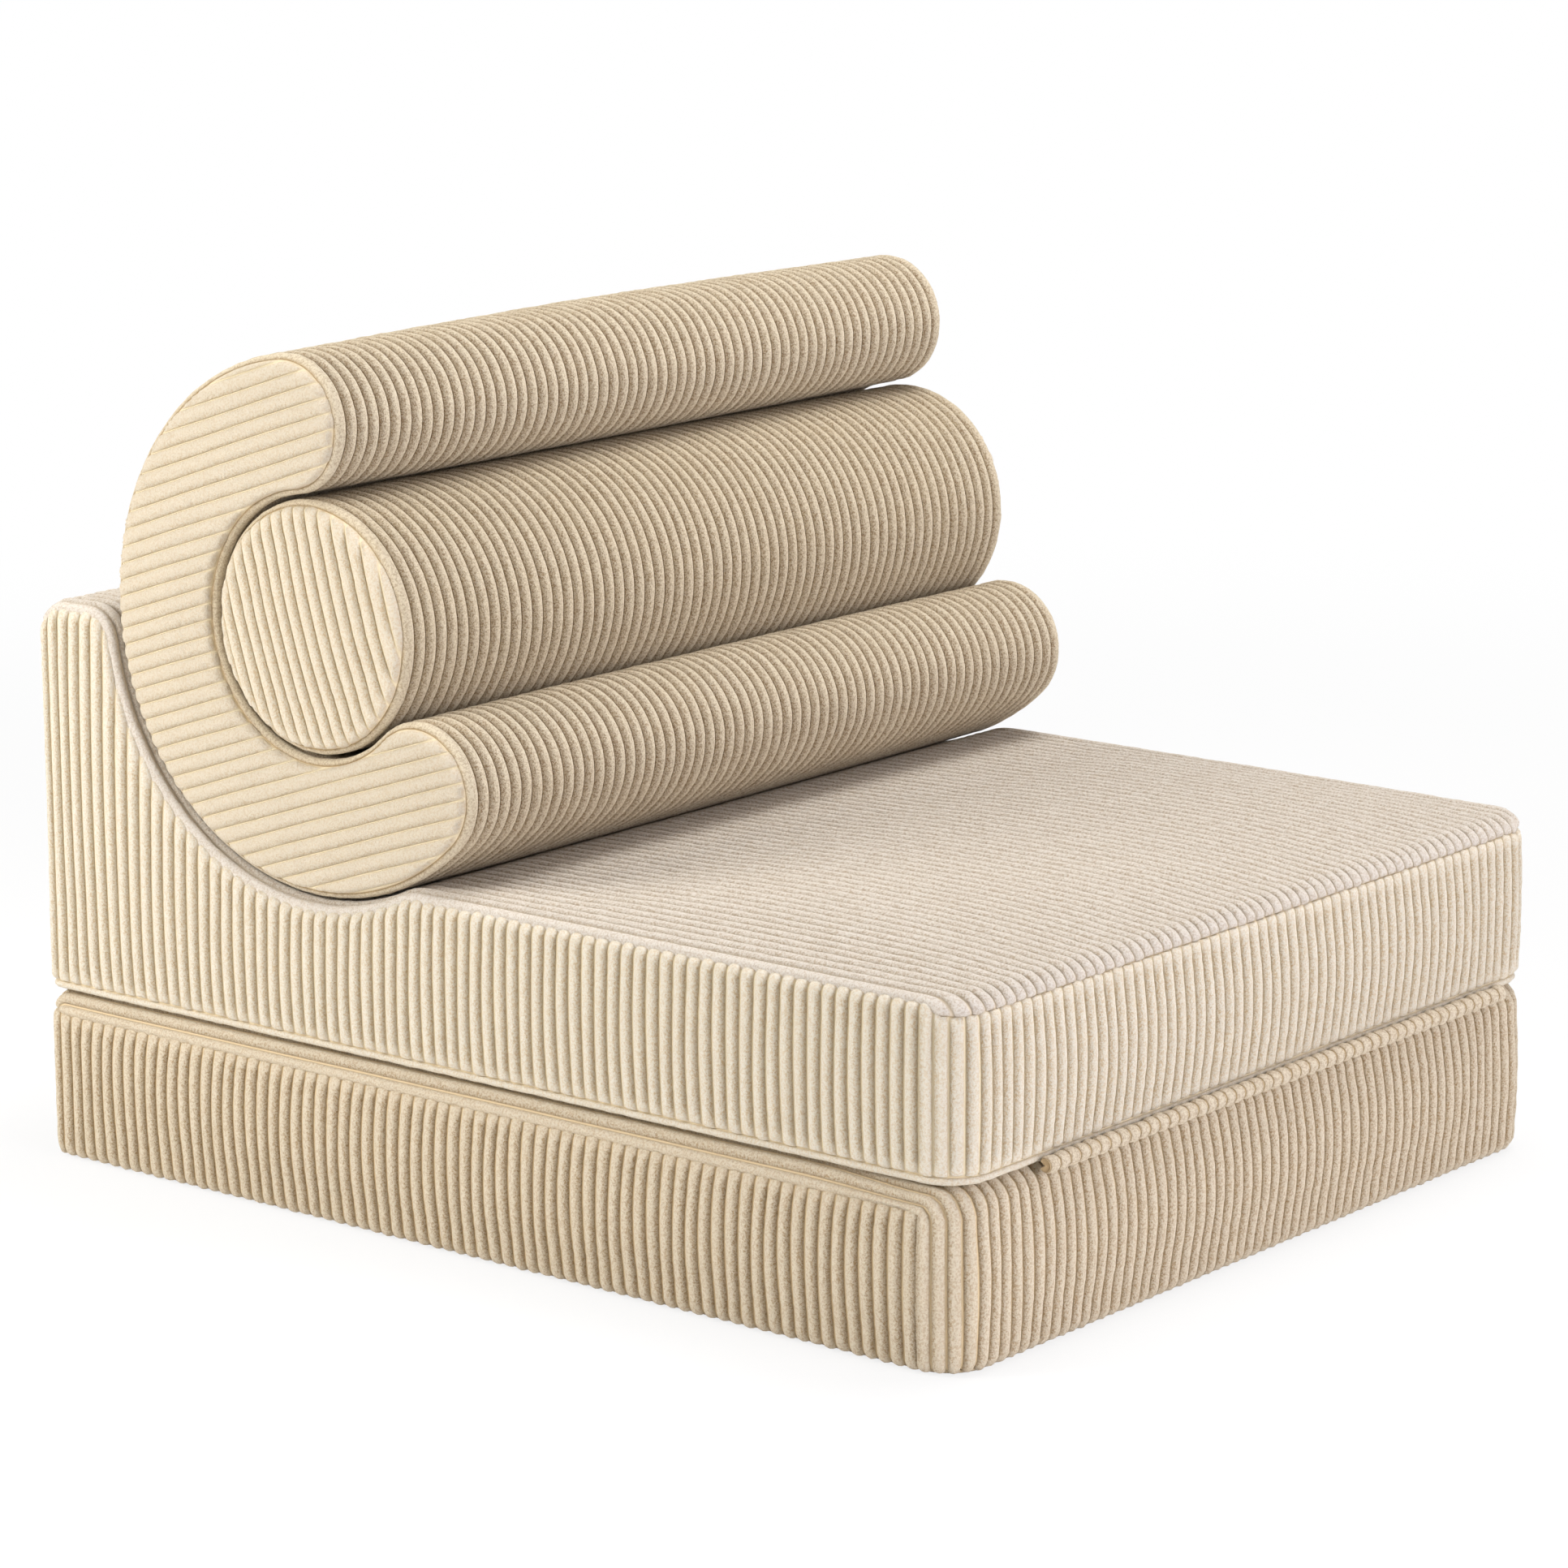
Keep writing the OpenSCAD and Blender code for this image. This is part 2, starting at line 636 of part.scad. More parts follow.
// The strip is a narrow cloth folded over, open towards the two cushions
module fold_strip() {
    long = width - strip_left - strip_right;
    mouth = strip_r * 0.6;
    color(shade) placed()
        translate([-width / 2 + strip_left, fold_y, joint_z])
            rotate([90, 0, 90])
                linear_extrude(long) difference() {
                    circle(r = strip_r, $fn = fine);
                    circle(r = strip_r - strip_t, $fn = fine);
                    translate([0, -mouth / 2]) square([2 * strip_r, mouth]);
                }
}

module seat_zip_tape() {
    color(tape_colour) placed() at_seat_zip() zip_tape(slab_zip_len);
}

module seat_zip_slider() {
    color(metal_colour) placed() at_seat_zip() zip_slider(slab_zip_len);
}

module seat_zip_pull() {
    color(metal_colour) placed() at_seat_zip() zip_pull(slab_zip_len);
}

module mat_foam() {
    color(foam_colour) placed() difference() {
        block(mat_inner);
        at_mat_zip() zip_recess(slab_zip_len);
    }
}

// One cloth over the top and on down the front
module mat_top_front_cover() {
    color(cream) placed() sheet(mat_outer, mat_inner, base_count + back_count, mat_top_count);
}

module mat_back_cover() {
    color(cream) placed() {
        difference() {
            sheet(mat_outer, mat_inner, base_count, back_count);
            at_mat_zip() zip_slot(slab_zip_len);
        }
        at_mat_zip() zip_lip(slab_zip_len);
    }
}

module mat_bottom_cover() {
    color(shade) placed() sheet(mat_outer, mat_inner, 0, base_count);
}

module mat_left_cover() {
    color(cream) placed() mat_end(false);
}

module mat_right_cover() {
    color(cream) placed() mat_end(true);
}

module mat_zip_tape() {
    color(tape_colour) placed() at_mat_zip() zip_tape(slab_zip_len);
}

module mat_zip_slider() {
    color(metal_colour) placed() at_mat_zip() zip_slider(slab_zip_len);
}

module mat_zip_pull() {
    color(metal_colour) placed() at_mat_zip() zip_pull(slab_zip_len);
}

module backrest_foam() {
    color(foam_colour) placed() difference() {
        block(backrest_inner);
        at_backrest_zip() zip_recess(backrest_zip_len);
    }
}

module backrest_wrap_cover() {
    color(shade) placed() {
        difference() {
            wrap(backrest_outer, backrest_inner);
            at_backrest_zip() zip_slot(backrest_zip_len);
        }
        at_backrest_zip() zip_lip(backrest_zip_len);
    }
}

module backrest_left_cover() {
    color(cream) placed() backrest_end(false);
}

module backrest_right_cover() {
    color(cream) placed() backrest_end(true);
}

module backrest_zip_tape() {
    color(tape_colour) placed() at_backrest_zip() zip_tape(backrest_zip_len);
}

module backrest_zip_slider() {
    color(metal_colour) placed() at_backrest_zip() zip_slider(backrest_zip_len);
}

module backrest_zip_pull() {
    color(metal_colour) placed() at_backrest_zip() zip_pull(backrest_zip_len);
}

module roll_foam() {
    color(foam_colour) placed() difference() {
        block(roll_inner);
        at_roll_zip() zip_recess(roll_zip_len);
    }
}

module roll_wrap_cover() {
    color(shade) placed() wrap(roll_outer, roll_inner);
}

module roll_left_cover() {
    color(cream) placed() roll_end(false);
}

module roll_right_cover() {
    color(cream) placed() {
        difference() {
            roll_end(true);
            at_roll_zip() zip_slot(roll_zip_len);
        }
        at_roll_zip() zip_lip(roll_zip_len);
    }
}

module roll_zip_tape() {
    color(tape_colour) placed() at_roll_zip() zip_tape(roll_zip_len);
}

module roll_zip_slider() {
    color(metal_colour) placed() at_roll_zip() zip_slider(roll_zip_len);
}

module roll_zip_pull() {
    color(metal_colour) placed() at_roll_zip() zip_pull(roll_zip_len);
}

seat_foam();
seat_top_cover();
seat_front_cover();
seat_back_cover();
seat_bottom_cover();
seat_left_cover();
seat_right_cover();
fold_strip();
seat_zip_tape();
seat_zip_slider();
seat_zip_pull();
mat_foam();
mat_top_front_cover();
mat_back_cover();
mat_bottom_cover();
mat_left_cover();
mat_right_cover();
mat_zip_tape();
mat_zip_slider();
mat_zip_pull();
backrest_foam();
backrest_wrap_cover();
backrest_left_cover();
backrest_right_cover();
backrest_zip_tape();
backrest_zip_slider();
backrest_zip_pull();
roll_foam();
roll_wrap_cover();
roll_left_cover();
roll_right_cover();
roll_zip_tape();
roll_zip_slider();
roll_zip_pull();
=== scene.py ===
"""Fold-out chair in wide cord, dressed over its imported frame.

A mat, a seat whose back rises to a cradle, a C-shaped backrest and a round bolster. X runs side to
side, -Y is the front, Z is up from the floor. Lengths are in millimetres until a mesh is made.
"""
from __future__ import annotations

import logging
import math
from dataclasses import dataclass, replace
from enum import Enum
from typing import Any, Callable, Optional, Sequence

import bpy
import numpy as np
from mathutils import Matrix, Vector
from mathutils.kdtree import KDTree


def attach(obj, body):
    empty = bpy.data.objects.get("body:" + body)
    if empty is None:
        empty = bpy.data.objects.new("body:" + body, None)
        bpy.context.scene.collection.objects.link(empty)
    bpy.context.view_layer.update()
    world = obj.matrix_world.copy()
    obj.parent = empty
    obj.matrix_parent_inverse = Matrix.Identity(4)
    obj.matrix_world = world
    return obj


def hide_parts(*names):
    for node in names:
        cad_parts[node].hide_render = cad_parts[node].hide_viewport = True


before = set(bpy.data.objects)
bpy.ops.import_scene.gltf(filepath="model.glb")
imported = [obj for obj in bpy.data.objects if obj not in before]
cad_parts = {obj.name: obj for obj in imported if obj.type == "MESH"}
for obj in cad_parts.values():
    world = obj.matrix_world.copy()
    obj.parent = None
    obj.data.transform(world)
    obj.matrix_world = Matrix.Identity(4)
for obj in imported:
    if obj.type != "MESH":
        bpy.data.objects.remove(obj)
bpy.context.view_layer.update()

Array = np.ndarray
Surface = Callable[[Array, Array], Array]
Place = tuple[float, float, float]
Colour = tuple[float, float, float]
Hold = Callable[[Array, Array], Array]

log = logging.getLogger("fold_out_chair")

MM = 0.001
# The solids stand this far back of the slabs' own middle
SET_BACK = 3.02135
# Places across one wale at which its round back is sampled, from groove to groove
PHASES = (0.0, 0.055, 0.115, 0.25, 0.5, 0.75, 0.885, 0.945)
COARSE_PHASES = (0.0, 0.08, 0.26, 0.5, 0.74, 0.92)
# How far a cloth runs on past its seam, turned in out of sight
TUCK = 3.0
# How far the foam stands in from the cover's outline
FOAM_IN = 7.0
# A seam gap for points that no seam is near
FAR = 99.0
# Half the width of a zip's slot at the cloth, with its turned-in edge
SLOT_TRIM = 10.0
# Over what length a zip's slot closes at its ends
SLOT_FADE = 8.0
# How the pile leans, and which flank of each wale the pile shader paints in shade: above 0 towards one flank,
# below 0 towards the other. The shaded flank is set by where the lamps stand, so it is painted shade.
PILE_LEAN_SHADE_A_LITTLE = -0.6
PILE_LEAN_SHADE = -1.0


class Slot(Enum):
    """Material slots of the record that a piece takes its finish from."""

    SEAT = "cord_seat"
    SIDES = "cord_sides"
    MAT = "cord_mat"
    BACKREST = "cord_backrest"
    BACKREST_ENDS = "cord_backrest_ends"
    ROLL = "cord_roll"
    ROLL_ENDS = "cord_roll_ends"
    STRIP = "cord_strip"
    FOAM = "foam"
    TAPE = "zip_tape"
    METAL = "zip_metal"


class Edge(Enum):
    """How a cloth's side ends: sewn with a turned-in margin, or carried on by the next cloth."""

    SEWN = "sewn"
    CARRIED_ON = "carried on"


# Small measuring helpers


def smooth(q: Array) -> Array:
    """Smooth step from 0 to 1 as q goes from 0 to 1."""
    q = np.clip(q, 0.0, 1.0)
    return q * q * (3.0 - 2.0 * q)


def fall(r: float | Array, s: Array) -> Array:
    """How far a rounding of radius r has fallen away at distance s from the side."""
    left = np.clip(r - s, 0.0, r)
    return r - np.sqrt(np.maximum(r * r - left * left, 0.0))


def part(v: Array, start: float, end: float) -> Array:
    """How far v has come from start to end, held between 0 and 1."""
    return np.clip((v - start) / (end - start), 0.0, 1.0)


def pieced(v: Array, marks: Sequence[float], runs: Sequence[tuple[Array, Array]]) -> tuple[Array, Array]:
    """Join runs of points (y, z): each holds between two marks of v."""
    which = np.clip(np.searchsorted(marks, v.ravel(), side="right") - 1, 0, len(runs) - 1).reshape(v.shape)
    y, z = (np.choose(which, [run[k] for run in runs]) for k in (0, 1))
    return y, z


def side_run(a: Array, half: float, edge: float) -> tuple[Array, Array, Array]:
    """Follow a rounded edge by length along the cloth.

    Args:
        a: Length along the cloth from its middle, below 0 on the left.
        half: Distance from the middle to the side.
        edge: Radius of the rounding into the side.

    Returns:
        x, distance from the side, and how far the top has fallen away.
    """
    flat = half - edge
    turn = np.clip((np.abs(a) - flat) / edge, 0.0, math.pi / 2)
    s = np.where(np.abs(a) <= flat, half - np.abs(a), edge * (1.0 - np.sin(turn)))
    return np.sign(a) * (half - s), s, edge * (1.0 - np.cos(turn))


def wander(across: Array, along: Array, reach: float, amount: float, seed: float) -> Array:
    """Sideways drift of the wales, fading out at the cloth's two sides.

    Args:
        across: Place across the wales, from the middle.
        along: Place along the wales.
        reach: Distance from the middle to the side, across the wales.
        amount: Largest drift.
        seed: Shifts the drift from cloth to cloth.

    Returns:
        The drift across the wales.
    """
    fade = 1.0 - np.clip(np.abs(across) / reach, 0.0, 1.0) ** 8
    slow = 0.55 * np.sin(across / 83.0 + along / 97.0 + seed)
    quick = 0.3 * np.sin(across / 41.0 - along / 67.0 + 2.3 * seed)
    small = 0.28 * np.sin(across / 9.0 + along / 19.0 + 4.1 * seed)
    return amount * fade * (slow + quick + small)


@dataclass(frozen=True)
class Cord:
    """The cord cloth: round wales with narrow grooves between them."""

    height: float = 3.0
    end_round: float = 4.6
    ground: float = 0.11
    lumps: float = 0.2
    lump_size: float = 7.0


@dataclass
class Panel:
    """One cloth as a grid of points, with what the wales need to know at each point."""

    points: Array
    phase: Array
    wale: Array
    end_gap: Array
    seam_gap: Array
    depth: Array
    faces: Array

    def moved(self, change: Callable[[Array], Array]) -> Panel:
        """The same cloth with its points changed."""
        return replace(self, points=change(self.points))

    def mirrored(self) -> Panel:
        """The same cloth seen in a mirror across X, facing outwards again."""
        other = self.moved(lambda p: p * np.array([-1.0, 1.0, 1.0]))
        other.faces = other.faces[:, ::-1]
        return other


def grid_faces(rows: int, columns: int, looped: bool = False) -> Array:
    """Quads of a grid of points, as rows of four indices; a looped grid closes on its first row."""
    r, c = np.meshgrid(np.arange(rows if looped else rows - 1), np.arange(columns - 1), indexing="ij")
    here = (r * columns + c).ravel()
    above = (((r + 1) % rows) * columns + c).ravel()
    return np.stack([here, here + 1, above + 1, above], axis=1)


def facing(points: Array, faces: Array, probe: int, outward: Sequence[float]) -> Array:
    """Turn every face over if the one at index probe doesn't look outward."""
    a, b, c, d = (points[i] for i in faces[probe])
    normal = np.cross(c - a, d - b)
    return faces if float(np.dot(normal, outward)) > 0 else faces[:, ::-1]


def wale_columns(length: float, count: int, phases: Sequence[float] = PHASES,
                 cut: float = 0.0) -> tuple[Array, Array, Array]:
    """Places across a cloth, from the middle of its length.

    Args:
        length: The cloth's length across its wales.
        count: Number of wales.
        phases: Places across one wale.
        cut: How much of the first and the last wale the seams take away.

    Returns:
        The places, each place's phase in its wale, and the wale's number.
    """
    pitch = length / (count - 2 * cut)
    inside = [(i, t) for i in range(count) for t in phases if 0.02 < i + t - cut < count - 2 * cut - 0.02]
    at = [0.0] + [(i + t - cut) * pitch for i, t in inside] + [length]
    phase = [cut] + [t for _, t in inside] + [1.0 - cut]
    wale = [0.0] + [float(i) for i, _ in inside] + [count - 1.0]
    return np.array(at) - length / 2, np.array(phase), np.array(wale)


def row_stops(lengths: Array, step: float) -> Array:
    """Distances along each line of a cloth at which it gets a point: rows by lines, closer at its seams."""
    close = np.array([-TUCK, 0.0, 0.9, 2.0, 3.6, 6.0, 9.0])[:, None]
    room = np.clip(lengths / (2 * close[-1] + 6.0), 0.0, 1.0)
    begin = np.where(close < 0, close, close * room)
    finish = lengths - begin
    count = max(int(np.max(lengths) / step) - 2, 2)
    q = np.linspace(0.0, 1.0, count + 2)[1:-1, None]
    middle = begin[-1] * (1 - q) + finish[-1] * q
    return np.vstack([begin, middle, finish[::-1]])


def resampled(lines: Array, stops: Array) -> Array:
    """Points at the given lengths along each line, which runs straight on past both its ends."""
    steps = np.linalg.norm(np.diff(lines, axis=0), axis=2)
    along = np.vstack([np.zeros(lines.shape[1]), np.cumsum(steps, axis=0)])
    out = np.empty((stops.shape[0], lines.shape[1], 3))
    for c in range(lines.shape[1]):
        for k in range(3):
            out[:, c, k] = np.interp(stops[:, c], along[:, c], lines[:, c, k])
    reach = 3
    before = lines[0] - lines[reach]
    before /= np.maximum(np.linalg.norm(before, axis=1, keepdims=True), 1e-9)
    after = lines[-1] - lines[-1 - reach]
    after /= np.maximum(np.linalg.norm(after, axis=1, keepdims=True), 1e-9)
    out += np.maximum(-stops, 0.0)[:, :, None] * before[None]
    out += np.maximum(stops - along[-1][None], 0.0)[:, :, None] * after[None]
    return out


@dataclass(frozen=True)
class Laying:
    """How one cloth is laid on its surface."""

    width: float
    count: int
    outward: Place
    sides: Edge = Edge.SEWN
    drift: float = 0.8
    seed: float = 0.0
    step: float = 5.6
    phases: tuple[float, ...] = PHASES
    fine: int = 420
    trim_first: float = 0.0
    trim_last: float = 0.0
    trim_reach: float = 0.0
    seam_reach: float = 1e6
    side_depth: float = 1.0
    end_depth: float = 2.4
    slot_depth: float = 3.4
    cut: float = 0.0
    offset: float = 0.0

    def opened(self, across: Array) -> Array:
        """1 along the slot in the middle, 0 beyond it."""
        if not self.trim_reach:
            return 0.0 * across
        return smooth((self.trim_reach + SLOT_FADE - np.abs(across)) / SLOT_FADE)

    def closed(self, across: Array) -> Array:
        """1 where the slot's seam has run out and the wales carry on, 0 along the seam."""
        return smooth((np.abs(across) - self.seam_reach) / SLOT_FADE)


def laid(surface: Surface, plan: Laying) -> Panel:
    """Lay one cloth on a surface, its wales running along the second direction.

    Args:
        surface: Gives points from places across (millimetres from the middle) and along (0 to 1).
        plan: How the cloth is laid.

    Returns:
        The cloth.
    """
    across, phase, wale = wale_columns(plan.width, plan.count, plan.phases, plan.cut)
    v = np.linspace(0.0, 1.0, plan.fine)[:, None]
    rough = surface(across[None, ::8] + 0.0 * v, v)
    length = float(np.median(np.linalg.norm(np.diff(rough, axis=0), axis=2).sum(axis=0)))
    drift = wander(across[None], plan.offset + v * length, plan.width / 2, plan.drift, plan.seed)
    lines = surface(across[None] + drift, v)
    lengths = np.linalg.norm(np.diff(lines, axis=0), axis=2).sum(axis=0)
    opened, closed = plan.opened(across), plan.closed(across)
    cut_first, cut_last = plan.trim_first * opened, plan.trim_last * opened
    stops = row_stops(lengths - cut_first - cut_last, plan.step)
    points = resampled(lines, stops + cut_first)
    from_first, from_last = stops, lengths - cut_first - cut_last - stops
    if plan.trim_first:
        from_first = np.where(from_first < -0.1, from_first, from_first + FAR * closed)
    if plan.trim_last:
        from_last = np.where(from_last < -0.1, from_last, from_last + FAR * closed)
    end_gap = np.minimum(from_first, from_last)
    beside = plan.width / 2 - np.abs(across)[None] + 0.0 * stops
    seam_gap = np.minimum(end_gap, beside) if plan.sides is Edge.SEWN else end_gap
    near_end = np.clip(beside / (np.maximum(end_gap, 0.0) + beside + 0.5), 0.0, 1.0)
    near_end = near_end if plan.sides is Edge.SEWN else 1.0 + 0.0 * near_end
    end_depth = plan.end_depth + (plan.slot_depth - plan.end_depth) * opened[None]
    depth = plan.side_depth + (end_depth - plan.side_depth) * near_end
    grids = [phase[None] + 0.0 * stops, wale[None] + 0.0 * stops, end_gap, seam_gap, depth]
    points, grids = hemmed(points, grids, plan)
    rows, columns = grids[0].shape
    faces = grid_faces(rows, columns)
    probe = (rows // 2) * (columns - 1) + columns // 2
    faces = facing(points.reshape(-1, 3), faces, probe, plan.outward)
    return Panel(points.reshape(-1, 3), *(g.ravel() for g in grids), faces)


def unit(v: Array) -> Array:
    """The same directions with length 1."""
    return v / np.maximum(np.linalg.norm(v, axis=-1, keepdims=True), 1e-9)


def hemmed(points: Array, grids: list[Array], plan: Laying) -> tuple[Array, list[Array]]:
    """Turn a grid's margins inwards at its two ends, and add them along its sides where they are sewn.

    Args:
        points: The grid, with straight margins at its ends.
        grids: Phase, wale, end gap, seam gap and depth at each point; the seam gap is the fourth.
        plan: How the cloth is laid.

    Returns:
        The grid and its values, wider by a column on both sides where they are sewn.
    """
    normal = unit(np.cross(np.gradient(points, axis=1), np.gradient(points, axis=0)))
    middle = normal[normal.shape[0] // 2, normal.shape[1] // 2]
    normal = normal if float(np.dot(middle, plan.outward)) > 0 else -normal
    points[0] = points[1] + TUCK * unit(unit(points[1] - points[2]) - normal[2])
    points[-1] = points[-2] + TUCK * unit(unit(points[-2] - points[-3]) - normal[-3])
    if plan.sides is not Edge.SEWN:
        return points, grids
    left = points[:, 0] + TUCK * unit(unit(points[:, 0] - points[:, 1]) - normal[:, 1])
    right = points[:, -1] + TUCK * unit(unit(points[:, -1] - points[:, -2]) - normal[:, -2])
    points = np.concatenate([left[:, None], points, right[:, None]], axis=1)
    grids = [np.concatenate([g[:, :1], g, g[:, -1:]], axis=1) for g in grids]
    grids[3][:, [0, -1]] = np.minimum(grids[3][:, [0, -1]], -TUCK)
    return points, grids


def signed_gap(p: Array, outline: Array) -> Array:
    """Distance of flat points from a closed outline, above 0 inside it."""
    a, b = outline, np.roll(outline, -1, axis=0)
    best = np.full(len(p), 1e9)
    inside = np.zeros(len(p), dtype=bool)
    for start, end in zip(a, b):
        run = end - start
        q = np.clip(((p - start) @ run) / max(float(run @ run), 1e-12), 0.0, 1.0)
        best = np.minimum(best, np.hypot(*(p - start - q[:, None] * run).T))
        crosses = (start[1] > p[:, 1]) != (end[1] > p[:, 1])
        if crosses.any():
            rise = run[1] if run[1] else 1e-12
            inside ^= crosses & (p[:, 0] < start[0] + (p[:, 1] - start[1]) * run[0] / rise)
    return np.where(inside, best, -best)


def slopes(gap: Callable[[Array], Array], p: Array, here: Array) -> tuple[Array, Array]:
    """How fast a gap grows along both directions at flat points, where its value is already known."""
    nudge = 0.05
    return (gap(p + [nudge, 0.0]) - here) / nudge, (gap(p + [0.0, nudge]) - here) / nudge


@dataclass(frozen=True)
class FlatLaying:
    """How a flat cloth is laid inside an outline."""

    turn: float
    pitch: float = 10.1
    step: float = 2.6
    shift: float = 0.0
    drift: float = 0.5
    seed: float = 0.0
    phases: tuple[float, ...] = PHASES
    depth: float = 1.0
    slot: Optional[tuple[float, float, float, float]] = None


def slot_gap(p: Array, slot: tuple[float, float, float, float]) -> Array:
    """Distance outside a zip's seam: the open slot in the middle and the closed seam beyond its ends."""
    across, up, half_length, half_width = slot
    width = half_width * smooth((half_length + SLOT_FADE - np.abs(p[:, 0] - across)) / SLOT_FADE)
    return np.abs(p[:, 1] - up) - width


def flat_gap(p: Array, outline: Array, plan: FlatLaying) -> Array:
    """Distance from the nearest seam of a flat cloth, above 0 on the cloth."""
    gap = signed_gap(p, outline)
    return gap if plan.slot is None else np.minimum(gap, slot_gap(p, plan.slot))


def laid_flat(outline: Array, plan: FlatLaying, raised: Callable[[Array, Array], Array],
              probe_out: Sequence[float]) -> Panel:
    """Lay a flat cloth inside an outline, with straight wales at any angle.

    Args:
        outline: Closed outline in the cloth's plane, as rows of two numbers.
        plan: How the cloth is laid; turn is the wales' direction in degrees.
        raised: Gives space points from flat points and their distance from the seam.
        probe_out: The direction the cloth faces.

    Returns:
        The cloth.
    """
    angle = math.radians(plan.turn)
    along = np.array([math.cos(angle), math.sin(angle)])
    side = np.array([-along[1], along[0]])
    p_low, p_high = (outline @ side).min() - 4, (outline @ side).max() + 4
    q_low, q_high = (outline @ along).min() - 4, (outline @ along).max() + 4
    first, last = math.floor((p_low - plan.shift) / plan.pitch), math.ceil((p_high - plan.shift) / plan.pitch)
    across = np.array([(i + t) * plan.pitch + plan.shift for i in range(first, last) for t in plan.phases])
    phase = np.array([t for _ in range(first, last) for t in plan.phases])
    wale = np.array([float(i) for i in range(first, last) for _ in plan.phases])
    q = np.arange(q_low, q_high, plan.step)[:, None]
    drift = wander(across[None], q, 4000.0, plan.drift, plan.seed)
    flat = (across[None] + drift)[:, :, None] * side + (q + 0.0 * across[None])[:, :, None] * along
    rows, columns = flat.shape[:2]
    flat = flat.reshape(-1, 2)
    gap = flat_gap(flat, outline, plan)
    faces = grid_faces(rows, columns)
    faces = faces[gap[faces].mean(axis=1) > 0.0]
    used, again = np.unique(faces, return_inverse=True)
    flat, gap, faces = flat[used], gap[used], again.reshape(-1, 4)
    rim = open_edges(faces)
    out = np.unique(rim)
    for _ in range(2):
        here = flat_gap(flat[out], outline, plan)
        dx, dy = slopes(lambda p: flat_gap(p, outline, plan), flat[out], here)
        flat[out] -= np.stack([dx, dy], axis=1) * (here / np.maximum(dx * dx + dy * dy, 0.2))[:, None]
    gap[out] = 0.0
    points = raised(flat, gap)
    hem = np.zeros(len(points), dtype=int)
    hem[out] = len(points) + np.arange(len(out))
    points = np.concatenate([points, points[out] - TUCK * np.array(probe_out, dtype=float)])
    phases, wales = np.tile(phase, rows)[used], np.tile(wale, rows)[used]
    phases, wales = np.concatenate([phases, phases[out]]), np.concatenate([wales, wales[out]])
    gap = np.concatenate([gap, np.full(len(out), -TUCK)])
    a, b = rim[:, 0], rim[:, 1]
    faces = np.concatenate([faces, np.stack([b, a, hem[a], hem[b]], axis=1)])
    faces = facing(points, faces, len(used) // 3, probe_out)
    return Panel(points, phases, wales, gap, gap, np.full(len(gap), plan.depth), faces)


def open_edges(faces: Array) -> Array:
    """Edges that only one face has, in that face's direction."""
    edges = np.concatenate([faces[:, [i, (i + 1) % 4]] for i in range(4)])
    key = np.sort(edges, axis=1) @ np.array([int(faces.max()) + 1, 1])
    _, index, count = np.unique(key, return_index=True, return_counts=True)
    return edges[index[count == 1]]


# Node building


